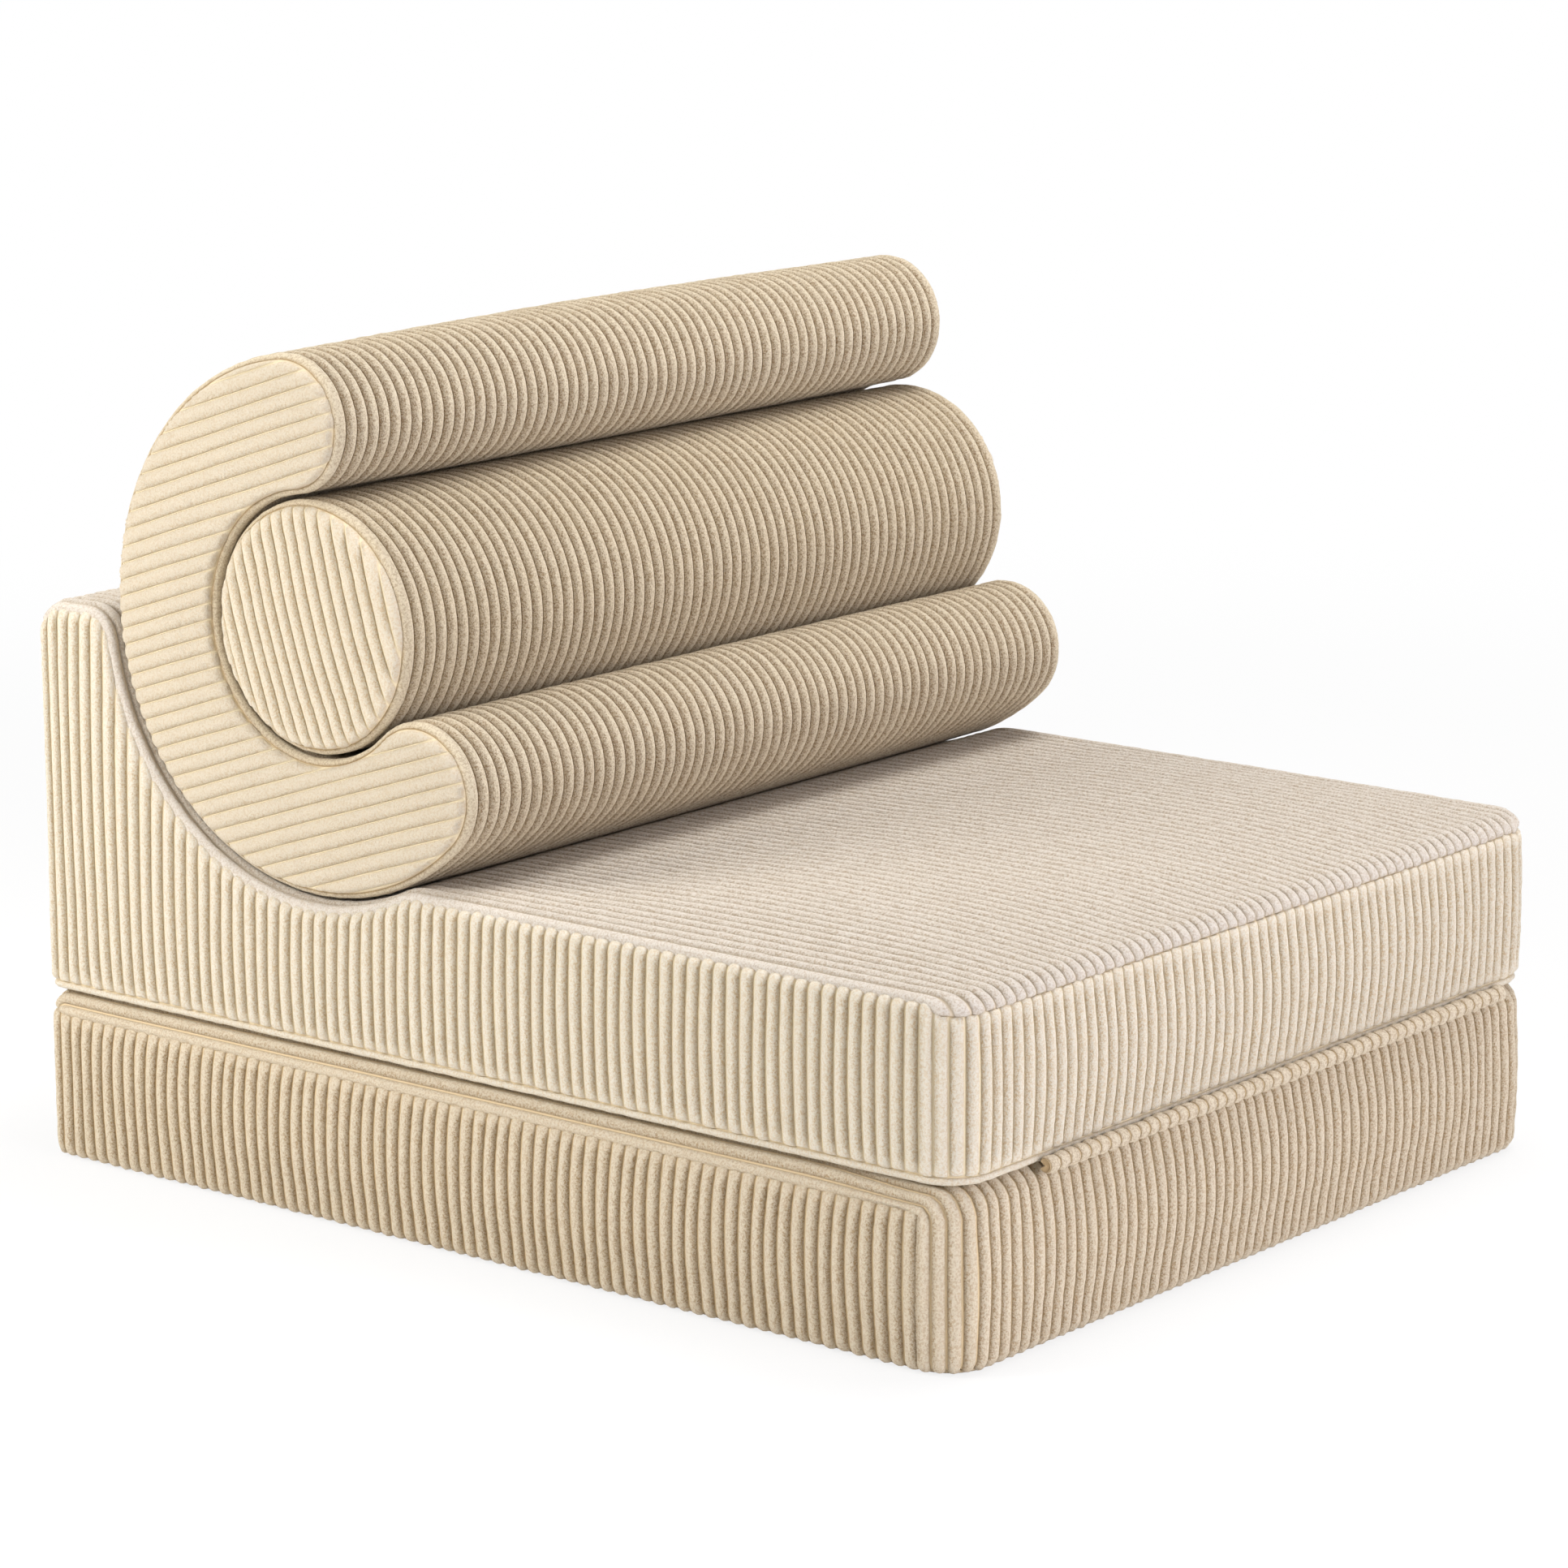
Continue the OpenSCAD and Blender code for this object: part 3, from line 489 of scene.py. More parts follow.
class Tree:
    """A node tree under construction, for shader groups, materials and Geometry Nodes alike."""

    def __init__(self, tree: bpy.types.NodeTree) -> None:
        """Start from an empty tree."""
        self.tree = tree
        self.tree.nodes.clear()

    def node(self, kind: str, inputs: Optional[dict[Any, Any]] = None, **settings: Any) -> bpy.types.Node:
        """Add a node.

        Args:
            kind: Blender's type name of the node.
            inputs: Values or sockets for its inputs, by name or number.
            **settings: Properties of the node itself.

        Returns:
            The node.
        """
        made = self.tree.nodes.new(kind)
        for name, value in settings.items():
            setattr(made, name, value)
        for key, value in (inputs or {}).items():
            if isinstance(value, bpy.types.NodeSocket):
                self.tree.links.new(value, made.inputs[key])
            else:
                made.inputs[key].default_value = value
        return made

    def math(self, operation: str, a: Any, b: Any = 0.0, c: Any = 0.0,
             clamp: bool = False) -> bpy.types.NodeSocket:
        """One step of arithmetic on numbers or sockets; MULTIPLY_ADD gives a times b plus c."""
        inputs = {0: a, 1: b, 2: c}
        return self.node("ShaderNodeMath", inputs, operation=operation, use_clamp=clamp).outputs[0]

    def times(self, a: Any, b: Any, clamp: bool = False) -> bpy.types.NodeSocket:
        """a times b."""
        return self.math("MULTIPLY", a, b, clamp=clamp)

    def plus(self, a: Any, b: Any) -> bpy.types.NodeSocket:
        """a plus b."""
        return self.math("ADD", a, b)

    def minus(self, a: Any, b: Any, clamp: bool = False) -> bpy.types.NodeSocket:
        """a less b."""
        return self.math("SUBTRACT", a, b, clamp=clamp)

    def ramp(self, value: Any, low: float, high: float, to_low: float = 0.0,
             to_high: float = 1.0) -> bpy.types.NodeSocket:
        """A smooth step of a value between two limits."""
        inputs = {"Value": value, "From Min": low, "From Max": high, "To Min": to_low, "To Max": to_high}
        return self.node("ShaderNodeMapRange", inputs, interpolation_type="SMOOTHSTEP").outputs[0]

    def mix(self, factor: Any, a: Any, b: Any, blend: str = "MIX") -> bpy.types.NodeSocket:
        """Mix two colours."""
        inputs = {0: factor, 6: a, 7: b}
        return self.node("ShaderNodeMix", inputs, data_type="RGBA", blend_type=blend).outputs[2]

    def noise(self, vector: Any, scale: float, detail: float = 2.0,
              rough: float = 0.5) -> bpy.types.NodeSocket:
        """Noise between 0 and 1 at a scale in features per metre."""
        inputs = {"Vector": vector, "Scale": scale, "Detail": detail, "Roughness": rough}
        return self.node("ShaderNodeTexNoise", inputs).outputs[0]

    def end_geometry(self, shape: bpy.types.NodeSocket, material: bpy.types.NodeSocket) -> None:
        """Close a Geometry Nodes tree: smooth, made real, and with its material."""
        rounded = self.node("GeometryNodeSetShadeSmooth", {0: shape}).outputs[0]
        real = self.node("GeometryNodeRealizeInstances", {"Geometry": rounded}).outputs[0]
        dressed = self.node("GeometryNodeSetMaterial", {"Geometry": real, "Material": material}).outputs[0]
        self.node("NodeGroupOutput", {0: dressed})

    def principled(self, material: bpy.types.Material, inputs: dict[str, Any]) -> bpy.types.Material:
        """Close a material with a Principled shader that has these inputs."""
        shader = self.node("ShaderNodeBsdfPrincipled", inputs)
        self.node("ShaderNodeOutputMaterial", {0: shader.outputs[0]})
        return material


def blank(name: str) -> tuple[bpy.types.Material, Tree]:
    """A new material with its empty node tree."""
    made = bpy.data.materials.new(name)
    made.use_nodes = True
    return made, Tree(made.node_tree)


def add_socket(tree: bpy.types.NodeTree, name: str, way: str, kind: str, value: Any = None) -> None:
    """Add a named socket to a group, with its value at the start."""
    made = tree.interface.new_socket(name=name, in_out=way, socket_type=kind)
    if value is not None:
        made.default_value = value


def geometry_tree(name: str, numbers: dict[str, float]) -> bpy.types.NodeTree:
    """A Geometry Nodes tree with its sockets, its number inputs set to the values given."""
    tree = bpy.data.node_groups.new(name, "GeometryNodeTree")
    add_socket(tree, "Geometry", "INPUT", "NodeSocketGeometry")
    for key, value in numbers.items():
        add_socket(tree, key, "INPUT", "NodeSocketFloat", value)
    add_socket(tree, "Material", "INPUT", "NodeSocketMaterial")
    add_socket(tree, "Geometry", "OUTPUT", "NodeSocketGeometry")
    return tree


def wales_tree() -> bpy.types.NodeTree:
    """Geometry Nodes that raise the wales on a cloth and draw it in at its seams.

    Returns:
        The tree. It reads wale_phase, wale, end_gap, seam_gap, seam_depth and puff. It stores nap, 0 in
        a groove and 1 on a wale's back, and lean, above 0 on the flank that the pile turns away from and
        that the pile shader paints in shade.
    """
    tree = geometry_tree("cord wales", {"Wale Height": 3.0, "End Rounding": 4.6, "Ground Share": 0.11,
                                        "Lumps": 0.2, "Lump Size": 7.0, "Pile Lean And Shade": 0.0, "Seed": 0.0})
    t = Tree(tree)
    inlet = t.node("NodeGroupInput").outputs
    height, rounding = inlet["Wale Height"], inlet["End Rounding"]

    def attribute(name: str) -> bpy.types.NodeSocket:
        """Read a number stored on the points."""
        return t.node("GeometryNodeInputNamedAttribute", {"Name": name}, data_type="FLOAT").outputs[0]

    turned = t.minus(t.times(attribute("wale_phase"), 2.0), 1.0)
    covered = t.minus(1.0, inlet["Ground Share"])
    sway = t.math("DIVIDE", t.math("ABSOLUTE", turned), covered)
    back = t.math("POWER", t.minus(1.0, t.math("POWER", sway, 2.2), clamp=True), 0.6)
    chance = t.node("ShaderNodeTexWhiteNoise", {"W": t.plus(attribute("wale"), inlet["Seed"])},
                    noise_dimensions="1D").outputs[0]
    jitter = t.times(t.minus(chance, 0.5), 1.4)
    gap = t.plus(attribute("end_gap"), jitter)
    near = t.minus(1.0, t.math("DIVIDE", gap, rounding), clamp=True)
    end = t.math("SQRT", t.minus(1.0, t.times(near, near), clamp=True))
    nap = t.times(back, end)
    place = t.node("GeometryNodeInputPosition").outputs[0]
    size = t.math("DIVIDE", 1000.0, inlet["Lump Size"])
    moved = t.node("ShaderNodeVectorMath", {0: place, 1: inlet["Seed"]}, operation="ADD").outputs[0]
    lump = t.node("ShaderNodeTexNoise", {"Vector": moved, "Scale": size, "Detail": 1.5}).outputs[0]
    lump = t.times(t.minus(lump, 0.5), t.times(inlet["Lumps"], 2.6))
    rise = t.times(nap, t.times(height, t.plus(1.0, lump)))
    sunk = t.times(attribute("seam_depth"), t.ramp(attribute("seam_gap"), 3.6, -3.0))
    offset = t.plus(t.minus(rise, sunk), attribute("puff"))
    normal = t.node("GeometryNodeInputNormal").outputs[0]
    out = t.node("ShaderNodeVectorMath", {0: normal, "Scale": t.times(offset, MM)},
                 operation="SCALE").outputs[0]
    clear = t.ramp(attribute("seam_gap"), 4.0, 11.0)
    on_pile = t.times(t.times(nap, 6.0, clamp=True), clear)
    # lean marks the flank of each wale that the pile shader paints in shade; which flank is set per cloth
    # from where the lamps stand.
    lean = t.times(t.times(turned, on_pile), inlet["Pile Lean And Shade"])
    stored = inlet[0]
    for name, value in (("nap", nap), ("lean", lean)):
        stored = t.node("GeometryNodeStoreNamedAttribute", {"Geometry": stored, "Name": name, "Value": value},
                        data_type="FLOAT", domain="POINT").outputs[0]
    raised = t.node("GeometryNodeSetPosition", {"Geometry": stored, "Offset": out}).outputs[0]
    t.end_geometry(raised, inlet["Material"])
    return tree


def coil_tree() -> bpy.types.NodeTree:
    """Geometry Nodes for the two coils of a zip, along X with their tops towards Z."""
    tree = geometry_tree("zip coils", {"Length": 0.48, "Pitch": 0.0016, "Coil Radius": 0.0006,
                                       "Wire Radius": 0.0003, "Middle": 0.0016, "Depth": -0.0065})
    t = Tree(tree)
    inlet = t.node("NodeGroupInput").outputs
    turns = t.math("DIVIDE", inlet["Length"], inlet["Pitch"])
    spiral = t.node("GeometryNodeCurveSpiral", {
        "Resolution": 8, "Rotations": turns, "Start Radius": inlet["Coil Radius"],
        "End Radius": inlet["Coil Radius"], "Height": inlet["Length"]}).outputs[0]
    wire = t.node("GeometryNodeCurvePrimitiveCircle", {
        "Resolution": 5, "Radius": inlet["Wire Radius"]}).outputs[0]
    coil = t.node("GeometryNodeCurveToMesh", {"Curve": spiral, "Profile Curve": wire}).outputs[0]
    joined = t.node("GeometryNodeJoinGeometry")
    start = t.times(inlet["Length"], -0.5)
    for side in (-1.0, 1.0):
        aside = t.times(inlet["Middle"], side)
        place = t.node("ShaderNodeCombineXYZ", {0: start, 1: aside, 2: inlet["Depth"]}).outputs[0]
        one = t.node("GeometryNodeTransform", {"Geometry": coil, "Translation": place,
                                               "Rotation": (0.0, math.pi / 2, 0.0)}).outputs[0]
        tree.links.new(one, joined.inputs[0])
    t.end_geometry(joined.outputs[0], inlet["Material"])
    return tree


def grown(obj: bpy.types.Object, tree: bpy.types.NodeTree, values: dict[str, Any]) -> None:
    """Run a Geometry Nodes tree on an object and keep its result as the object's plain mesh.

    Args:
        obj: The object to change.
        tree: The tree.
        values: What its named inputs are set to.
    """
    modifier = obj.modifiers.new(tree.name, "NODES")
    modifier.node_group = tree
    for item in tree.interface.items_tree:
        if item.item_type == "SOCKET" and item.in_out == "INPUT" and item.name in values:
            modifier[item.identifier] = values[item.name]
    bpy.context.view_layer.update()
    evaluated = obj.evaluated_get(bpy.context.evaluated_depsgraph_get())
    mesh = bpy.data.meshes.new_from_object(evaluated)
    obj.modifiers.remove(modifier)
    old = obj.data
    obj.data = mesh
    bpy.data.meshes.remove(old)


# Finishes


def srgb(r: float, g: float, b: float) -> tuple[float, float, float, float]:
    """A colour written as 0 to 255 on screen, as the light values that materials take."""
    def one(c: float) -> float:
        """One channel."""
        c /= 255.0
        return c / 12.92 if c <= 0.04045 else ((c + 0.055) / 1.055) ** 2.4
    return one(r), one(g), one(b), 1.0


def pile_group() -> bpy.types.NodeTree:
    """Shader group for cut pile: tufts and specks on the wales, ground cloth in the grooves. One flank of
    each wale, chosen by lean, is painted in shade with the Flank colour, and the dark specks gather there as
    painted shade of the tufts.
    """
    tree = bpy.data.node_groups.new("cord pile", "ShaderNodeTree")
    for name in ("Crest", "Flank", "Ground"):
        add_socket(tree, name, "INPUT", "NodeSocketColor", (0.8, 0.8, 0.8, 1.0))
    add_socket(tree, "Specks", "INPUT", "NodeSocketFloat", 0.5)
    add_socket(tree, "Patches", "INPUT", "NodeSocketFloat", 0.5)
    add_socket(tree, "Color", "OUTPUT", "NodeSocketColor")
    add_socket(tree, "Roughness", "OUTPUT", "NodeSocketFloat")
    add_socket(tree, "Height", "OUTPUT", "NodeSocketFloat")
    t = Tree(tree)
    inlet = t.node("NodeGroupInput").outputs
    nap = t.node("ShaderNodeAttribute", attribute_name="nap").outputs["Fac"]
    lean = t.node("ShaderNodeAttribute", attribute_name="lean").outputs["Fac"]
    place = t.node("ShaderNodeTexCoord").outputs["Object"]
    warp = t.minus(t.noise(place, 600.0, 3.0, 0.7), 0.5)
    tuft = t.noise(place, 680.0, 4.0, 0.78)
    fine = t.noise(place, 1700.0, 2.0, 0.7)
    patch = t.noise(place, 26.0, 2.0, 0.55)
    ragged = t.math("MULTIPLY_ADD", warp, 0.6, nap)
    # away: the flank of each wale that is painted in shade, read from lean.
    away = t.ramp(t.math("MULTIPLY_ADD", warp, 0.7, lean), -0.05, 0.7)
    lit_flank = t.minus(1.0, away)
    back = t.ramp(t.math("MULTIPLY_ADD", lit_flank, 0.3, ragged), 0.30, 0.95)
    body = t.mix(back, inlet["Flank"], inlet["Crest"])
    # Painted shade: the shaded flank turns towards the Flank colour.
    body = t.mix(t.times(away, 0.55), body, inlet["Flank"])
    cloth = t.mix(t.ramp(ragged, 0.02, 0.3), inlet["Ground"], body)
    shy = t.ramp(nap, 0.0, 0.3)
    # The pile's ends, with their specks, tips and bumps, show most on the painted-shade flank.
    open_pile_and_shade = t.times(shy, t.math("MULTIPLY_ADD", away, 0.6, 0.4))
    wide_open = t.times(open_pile_and_shade, 1.4, clamp=True)
    # Dark specks: partly the pile's own dark ends, partly painted shade between the tufts.
    specks_and_tuft_shade = t.times(t.ramp(tuft, 0.53, 0.43), wide_open)
    dark = t.mix(0.5, cloth, inlet["Ground"], "MULTIPLY")
    dark = t.mix(1.0, dark, inlet["Flank"], "MULTIPLY")
    speckled = t.mix(t.times(specks_and_tuft_shade, inlet["Specks"]), cloth, dark)
    tips = t.times(t.ramp(fine, 0.52, 0.68), t.times(open_pile_and_shade, 0.8))
    speckled = t.mix(tips, speckled, t.mix(0.5, inlet["Crest"], srgb(255, 250, 240)))
    worn = t.times(t.ramp(patch, 0.40, 0.66), t.times(inlet["Patches"], 0.35))
    coloured = t.mix(worn, speckled, t.mix(0.5, speckled, inlet["Flank"]))
    grains = t.math("MULTIPLY_ADD", tuft, 0.7, t.times(fine, 0.3))
    hills = t.times(grains, t.math("MULTIPLY_ADD", open_pile_and_shade, 0.85, 0.25))
    rough = t.math("MULTIPLY_ADD", fine, 0.12, 0.86)
    t.node("NodeGroupOutput", {0: coloured, 1: rough, 2: hills})
    return tree


@dataclass(frozen=True)
class CordFinish:
    """Cream cord pile."""

    name: str
    crest: Colour
    flank: Colour
    ground: Colour
    specks: float = 0.85
    patches: float = 0.5
    sheen: float = 0.2

    def material(self, pile: bpy.types.NodeTree) -> bpy.types.Material:
        """Make the material.

        Args:
            pile: The shader group for cut pile.

        Returns:
            The material.
        """
        made, t = blank(self.name)
        cord = t.node("ShaderNodeGroup", {
            "Crest": srgb(*self.crest), "Flank": srgb(*self.flank), "Ground": srgb(*self.ground),
            "Specks": self.specks, "Patches": self.patches}, node_tree=pile).outputs
        bump = t.node("ShaderNodeBump", {"Strength": 1.0, "Distance": 0.0038, "Height": cord["Height"]})
        return t.principled(made, {
            "Base Color": cord["Color"], "Roughness": cord["Roughness"],
            "Normal": bump.outputs[0], "Sheen Weight": self.sheen, "Sheen Roughness": 0.55,
            "Sheen Tint": srgb(255, 246, 232), "Specular IOR Level": 0.2})


@dataclass(frozen=True)
class FoamFinish:
    """Open-pored foam, inside the covers."""

    name: str = "foam"
    colour: Colour = (238, 226, 180)

    def material(self) -> bpy.types.Material:
        """Make the material."""
        made, t = blank(self.name)
        place = t.node("ShaderNodeTexCoord").outputs["Object"]
        pores = t.node("ShaderNodeTexVoronoi", {"Vector": place, "Scale": 700.0}).outputs[0]
        # The pores are painted a fifth darker than the foam, as painted shade in them.
        shade = t.mix(t.ramp(pores, 0.1, 0.5), srgb(*(c * 0.8 for c in self.colour)), srgb(*self.colour))
        bump = t.node("ShaderNodeBump", {"Strength": 0.4, "Distance": 0.001, "Height": pores})
        return t.principled(made, {"Base Color": shade, "Roughness": 0.95, "Normal": bump.outputs[0]})


@dataclass(frozen=True)
class TapeFinish:
    """Woven zip tape and its coils."""

    name: str
    colour: Colour
    rough: float

    def material(self) -> bpy.types.Material:
        """Make the material: a fine twill on Object coordinates."""
        made, t = blank(self.name)
        place = t.node("ShaderNodeTexCoord").outputs["Object"]
        twill = {"Vector": place, "Scale": 420.0, "Distortion": 1.2, "Detail": 1.0}
        weave = t.node("ShaderNodeTexWave", twill, bands_direction="DIAGONAL").outputs[1]
        grain = t.noise(place, 900.0)
        low = srgb(*(c * 0.86 for c in self.colour))
        shade = t.mix(t.times(t.plus(weave, grain), 0.5), low, srgb(*self.colour))
        bump = t.node("ShaderNodeBump", {"Strength": 0.5, "Distance": 0.0003, "Height": weave})
        rough = t.plus(self.rough, t.times(grain, 0.1))
        return t.principled(made, {"Base Color": shade, "Roughness": rough, "Normal": bump.outputs[0]})


@dataclass(frozen=True)
class MetalFinish:
    """Brushed nickel of the sliders and pull tabs."""

    name: str = "nickel"
    colour: Colour = (196, 192, 186)

    def material(self) -> bpy.types.Material:
        """Make the material: fine brushing lines and faint handling marks."""
        made, t = blank(self.name)
        place = t.node("ShaderNodeTexCoord").outputs["Object"]
        fine_lines = {"Vector": place, "Scale": (300.0, 4000.0, 4000.0)}
        stretched = t.node("ShaderNodeMapping", fine_lines).outputs[0]
        lines = t.noise(stretched, 1.0, 3.0)
        marks = t.noise(place, 260.0, 4.0, 0.6)
        shade = t.mix(t.ramp(marks, 0.35, 0.7), srgb(*(c * 0.88 for c in self.colour)), srgb(*self.colour))
        rough = t.plus(0.24, t.times(lines, 0.22))
        bump = t.node("ShaderNodeBump", {"Strength": 0.15, "Distance": 0.0001, "Height": lines})
        return t.principled(made, {
            "Base Color": shade, "Roughness": rough, "Normal": bump.outputs[0], "Metallic": 1.0})


# Filling out the cushions


@dataclass(frozen=True)
class Filling:
    """How a cushion is blown up inside its cover by a cloth simulation."""

    voxel: float = 0.009
    pressure: float = 4.0
    frames: int = 14
    reach: float = 3.5

    def settings(self, modifier: bpy.types.ClothModifier) -> None:
        """Give a cloth modifier its stiffness and its pressure, without gravity."""
        cloth = modifier.settings
        cloth.quality = 4
        cloth.mass = 0.3
        cloth.tension_stiffness = 12.0
        cloth.compression_stiffness = 12.0
        cloth.shear_stiffness = 8.0
        cloth.bending_stiffness = 1.0
        cloth.use_pressure = True
        cloth.uniform_pressure_force = self.pressure
        cloth.vertex_group_mass = "held"
        cloth.effector_weights.gravity = 0.0


class Field:
    """How far a cushion has filled out, near any point of its surface."""

    def __init__(self, points: Array, push: Array) -> None:
        """Keep the places in metres and the push there in millimetres."""
        self.push = push
        self.tree = KDTree(len(points))
        for i, point in enumerate(points):
            self.tree.insert(point, i)
        self.tree.balance()

    def at(self, points: Array) -> Array:
        """Push at slab points, averaged over the four places nearest to each."""
        placed = (points + np.array([0.0, SET_BACK, 0.0])) * MM
        out = np.empty(len(points), dtype=np.float32)
        for k, point in enumerate(placed):
            near = self.tree.find_n(point, 4)
            weights = [1.0 / (d + 0.002) for _, _, d in near]
            out[k] = sum(w * self.push[i] for w, (_, i, _) in zip(weights, near)) / sum(weights)
        return out


def coordinates(mesh: bpy.types.Mesh) -> Array:
    """A mesh's points."""
    found = np.empty(len(mesh.vertices) * 3, dtype=np.float32)
    mesh.vertices.foreach_get("co", found)
    return found.reshape(-1, 3).astype(float)


def filled(body: bpy.types.Object, held: Hold, plan: Filling) -> Field:
    """Blow a copy of a cushion up and measure how far its surface moves.

    Args:
        body: The cushion's closed form.
        held: Gives from slab points and normals how firmly each is held, 0 to 1.
        plan: Voxel size, pressure, frames and the farthest that it may move.

    Returns:
        The push outwards over the surface.
    """
    scene = bpy.context.scene
    copy = body.copy()
    copy.data = body.data.copy()
    scene.collection.objects.link(copy)
    remesh = copy.modifiers.new("remesh", "REMESH")
    remesh.mode = "VOXEL"
    remesh.voxel_size = plan.voxel
    bpy.context.view_layer.update()
    even = bpy.data.meshes.new_from_object(copy.evaluated_get(bpy.context.evaluated_depsgraph_get()))
    copy.modifiers.remove(remesh)
    first, copy.data = copy.data, even
    rest = coordinates(even)
    normals = np.empty(len(rest) * 3, dtype=np.float32)
    even.vertices.foreach_get("normal", normals)
    normals = normals.reshape(-1, 3).astype(float)
    firm = held(rest / MM - np.array([0.0, SET_BACK, 0.0]), normals)
    group = copy.vertex_groups.new(name="held")
    levels = np.round(np.clip(firm, 0.0, 1.0) * 10).astype(int)
    for level in range(1, 11):
        group.add(np.flatnonzero(levels == level).tolist(), level / 10.0, "REPLACE")
    plan.settings(copy.modifiers.new("cloth", "CLOTH"))
    for number in range(1, plan.frames + 1):
        scene.frame_set(number)
    blown = copy.evaluated_get(bpy.context.evaluated_depsgraph_get()).to_mesh()
    push = ((coordinates(blown) - rest) * normals).sum(axis=1) / MM
    bpy.data.objects.remove(copy)
    bpy.data.meshes.remove(even)
    bpy.data.meshes.remove(first)
    scene.frame_set(1)
    most = float(np.percentile(push, 99))
    log.info("%s filled out by %.1f mm before its limit", body.name, most)
    push = np.clip(push * min(1.0, plan.reach / max(most, 0.01)), -0.5, plan.reach)
    return Field(rest, push)


class Workshop:
    """What all the pieces share: the node trees, the finishes and the making of a piece."""

    read = {"wale_phase": "phase", "wale": "wale", "end_gap": "end_gap", "seam_gap": "seam_gap",
            "seam_depth": "depth"}

    def __init__(self) -> None:
        """Build the trees and the finishes once."""
        self.wales = wales_tree()
        self.coils = coil_tree()
        pile = pile_group()
        # One cream cord in lit and shaded copies: its crest, flank and groove colours differ from slot to
        # slot as the light on each part differs. The wraps of the backrest and the roll, with their dark
        # grooves, are painted shade; the sides, the front and the ends are the palest, painted light.
        finishes = {
            Slot.SEAT: CordFinish(
                "cord seat", crest=(239, 230, 219), flank=(221, 208, 190), ground=(228, 213, 190)),
            Slot.SIDES: CordFinish(
                "cord sides", crest=(245, 236, 219), flank=(236, 220, 192), ground=(245, 230, 199)),
            Slot.MAT: CordFinish(
                "cord mat", crest=(238, 224, 200), flank=(217, 196, 162), ground=(231, 209, 171)),
            Slot.BACKREST: CordFinish(
                "cord backrest", crest=(234, 220, 193), flank=(209, 187, 152), ground=(185, 158, 119)),
            Slot.BACKREST_ENDS: CordFinish(
                "cord backrest ends", crest=(229, 216, 195), flank=(235, 219, 190), ground=(236, 220, 186),
                specks=0.7),
            Slot.ROLL: CordFinish(
                "cord roll", crest=(230, 215, 187), flank=(206, 184, 147), ground=(183, 156, 116)),
            Slot.ROLL_ENDS: CordFinish(
                "cord roll ends", crest=(241, 229, 208), flank=(241, 225, 197), ground=(244, 228, 194),
                specks=0.8),
            Slot.STRIP: CordFinish(
                "cord strip", crest=(236, 222, 198), flank=(212, 190, 156), ground=(199, 172, 132)),
        }
        self.materials = {slot: finish.material(pile) for slot, finish in finishes.items()}
        self.materials[Slot.FOAM] = FoamFinish().material()
        self.materials[Slot.TAPE] = TapeFinish("zip tape", (222, 208, 182), 0.8).material()
        self.materials[Slot.METAL] = MetalFinish().material()
        self.coil = TapeFinish("zip coil", (214, 200, 172), 0.45).material()
        self.fields: dict[str, Field] = {}

    def mesh_object(self, name: str, points: Array,
                    faces: Array | Sequence[Sequence[int]]) -> bpy.types.Object:
        """Make an object from slab millimetres, smooth and standing where the solids stand."""
        mesh = bpy.data.meshes.new(name)
        placed = (np.asarray(points) + np.array([0.0, SET_BACK, 0.0])) * MM
        mesh.from_pydata(placed.tolist(), [], [list(map(int, f)) for f in faces])
        mesh.validate()
        mesh.shade_smooth()
        obj = bpy.data.objects.new(name, mesh)
        bpy.context.scene.collection.objects.link(obj)
        return obj

    def sew(self, name: str, panels: Sequence[Panel], slot: Slot, body: str, seed: float,
            cord: Cord = Cord(), lean: float = 0.5, node: str = "") -> None:
        """Make one cover from its cloths.

        Args:
            name: The piece's name without its last word.
            panels: The cloths it is sewn from.
            slot: Where its finish comes from.
            body: The body it moves with.
            seed: Sets the small chances in its wales.
            cord: The cord it is sewn from.
            lean: How far, and to which side, the pile leans, which sets the flank that the pile shader paints
                in shade.
            node: The solid it stands for, if that isn't the cover of this name.
        """
        starts = np.cumsum([0] + [len(p.points) for p in panels[:-1]])
        points = np.concatenate([p.points for p in panels])
        faces = np.concatenate([p.faces + start for p, start in zip(panels, starts)])
        obj = self.mesh_object(f"{name}_cord", points, faces)
        for key, field_name in self.read.items():
            values = np.concatenate([getattr(p, field_name) for p in panels]).astype(np.float32)
            obj.data.attributes.new(key, "FLOAT", "POINT").data.foreach_set("value", values)
        puff = obj.data.attributes.new("puff", "FLOAT", "POINT")
        if body in self.fields:
            puff.data.foreach_set("value", self.fields[body].at(points))
        grown(obj, self.wales, {
            "Wale Height": cord.height, "End Rounding": cord.end_round, "Ground Share": cord.ground,
            "Lumps": cord.lumps, "Lump Size": cord.lump_size, "Pile Lean And Shade": lean, "Seed": seed,
            "Material": self.materials[slot]})
        for key in (*self.read, "puff"):
            found = obj.data.attributes.get(key)
            if found:
                obj.data.attributes.remove(found)
        self.finished(obj, body, node or f"{name}_cover")

    def finished(self, obj: bpy.types.Object, body: str, node: str) -> None:
        """Hand a piece over: attach it to what it moves with and hide the solid it stands for."""
        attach(obj, body)
        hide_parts(node)
        log.info("%s: %d points", obj.name, len(obj.data.vertices))

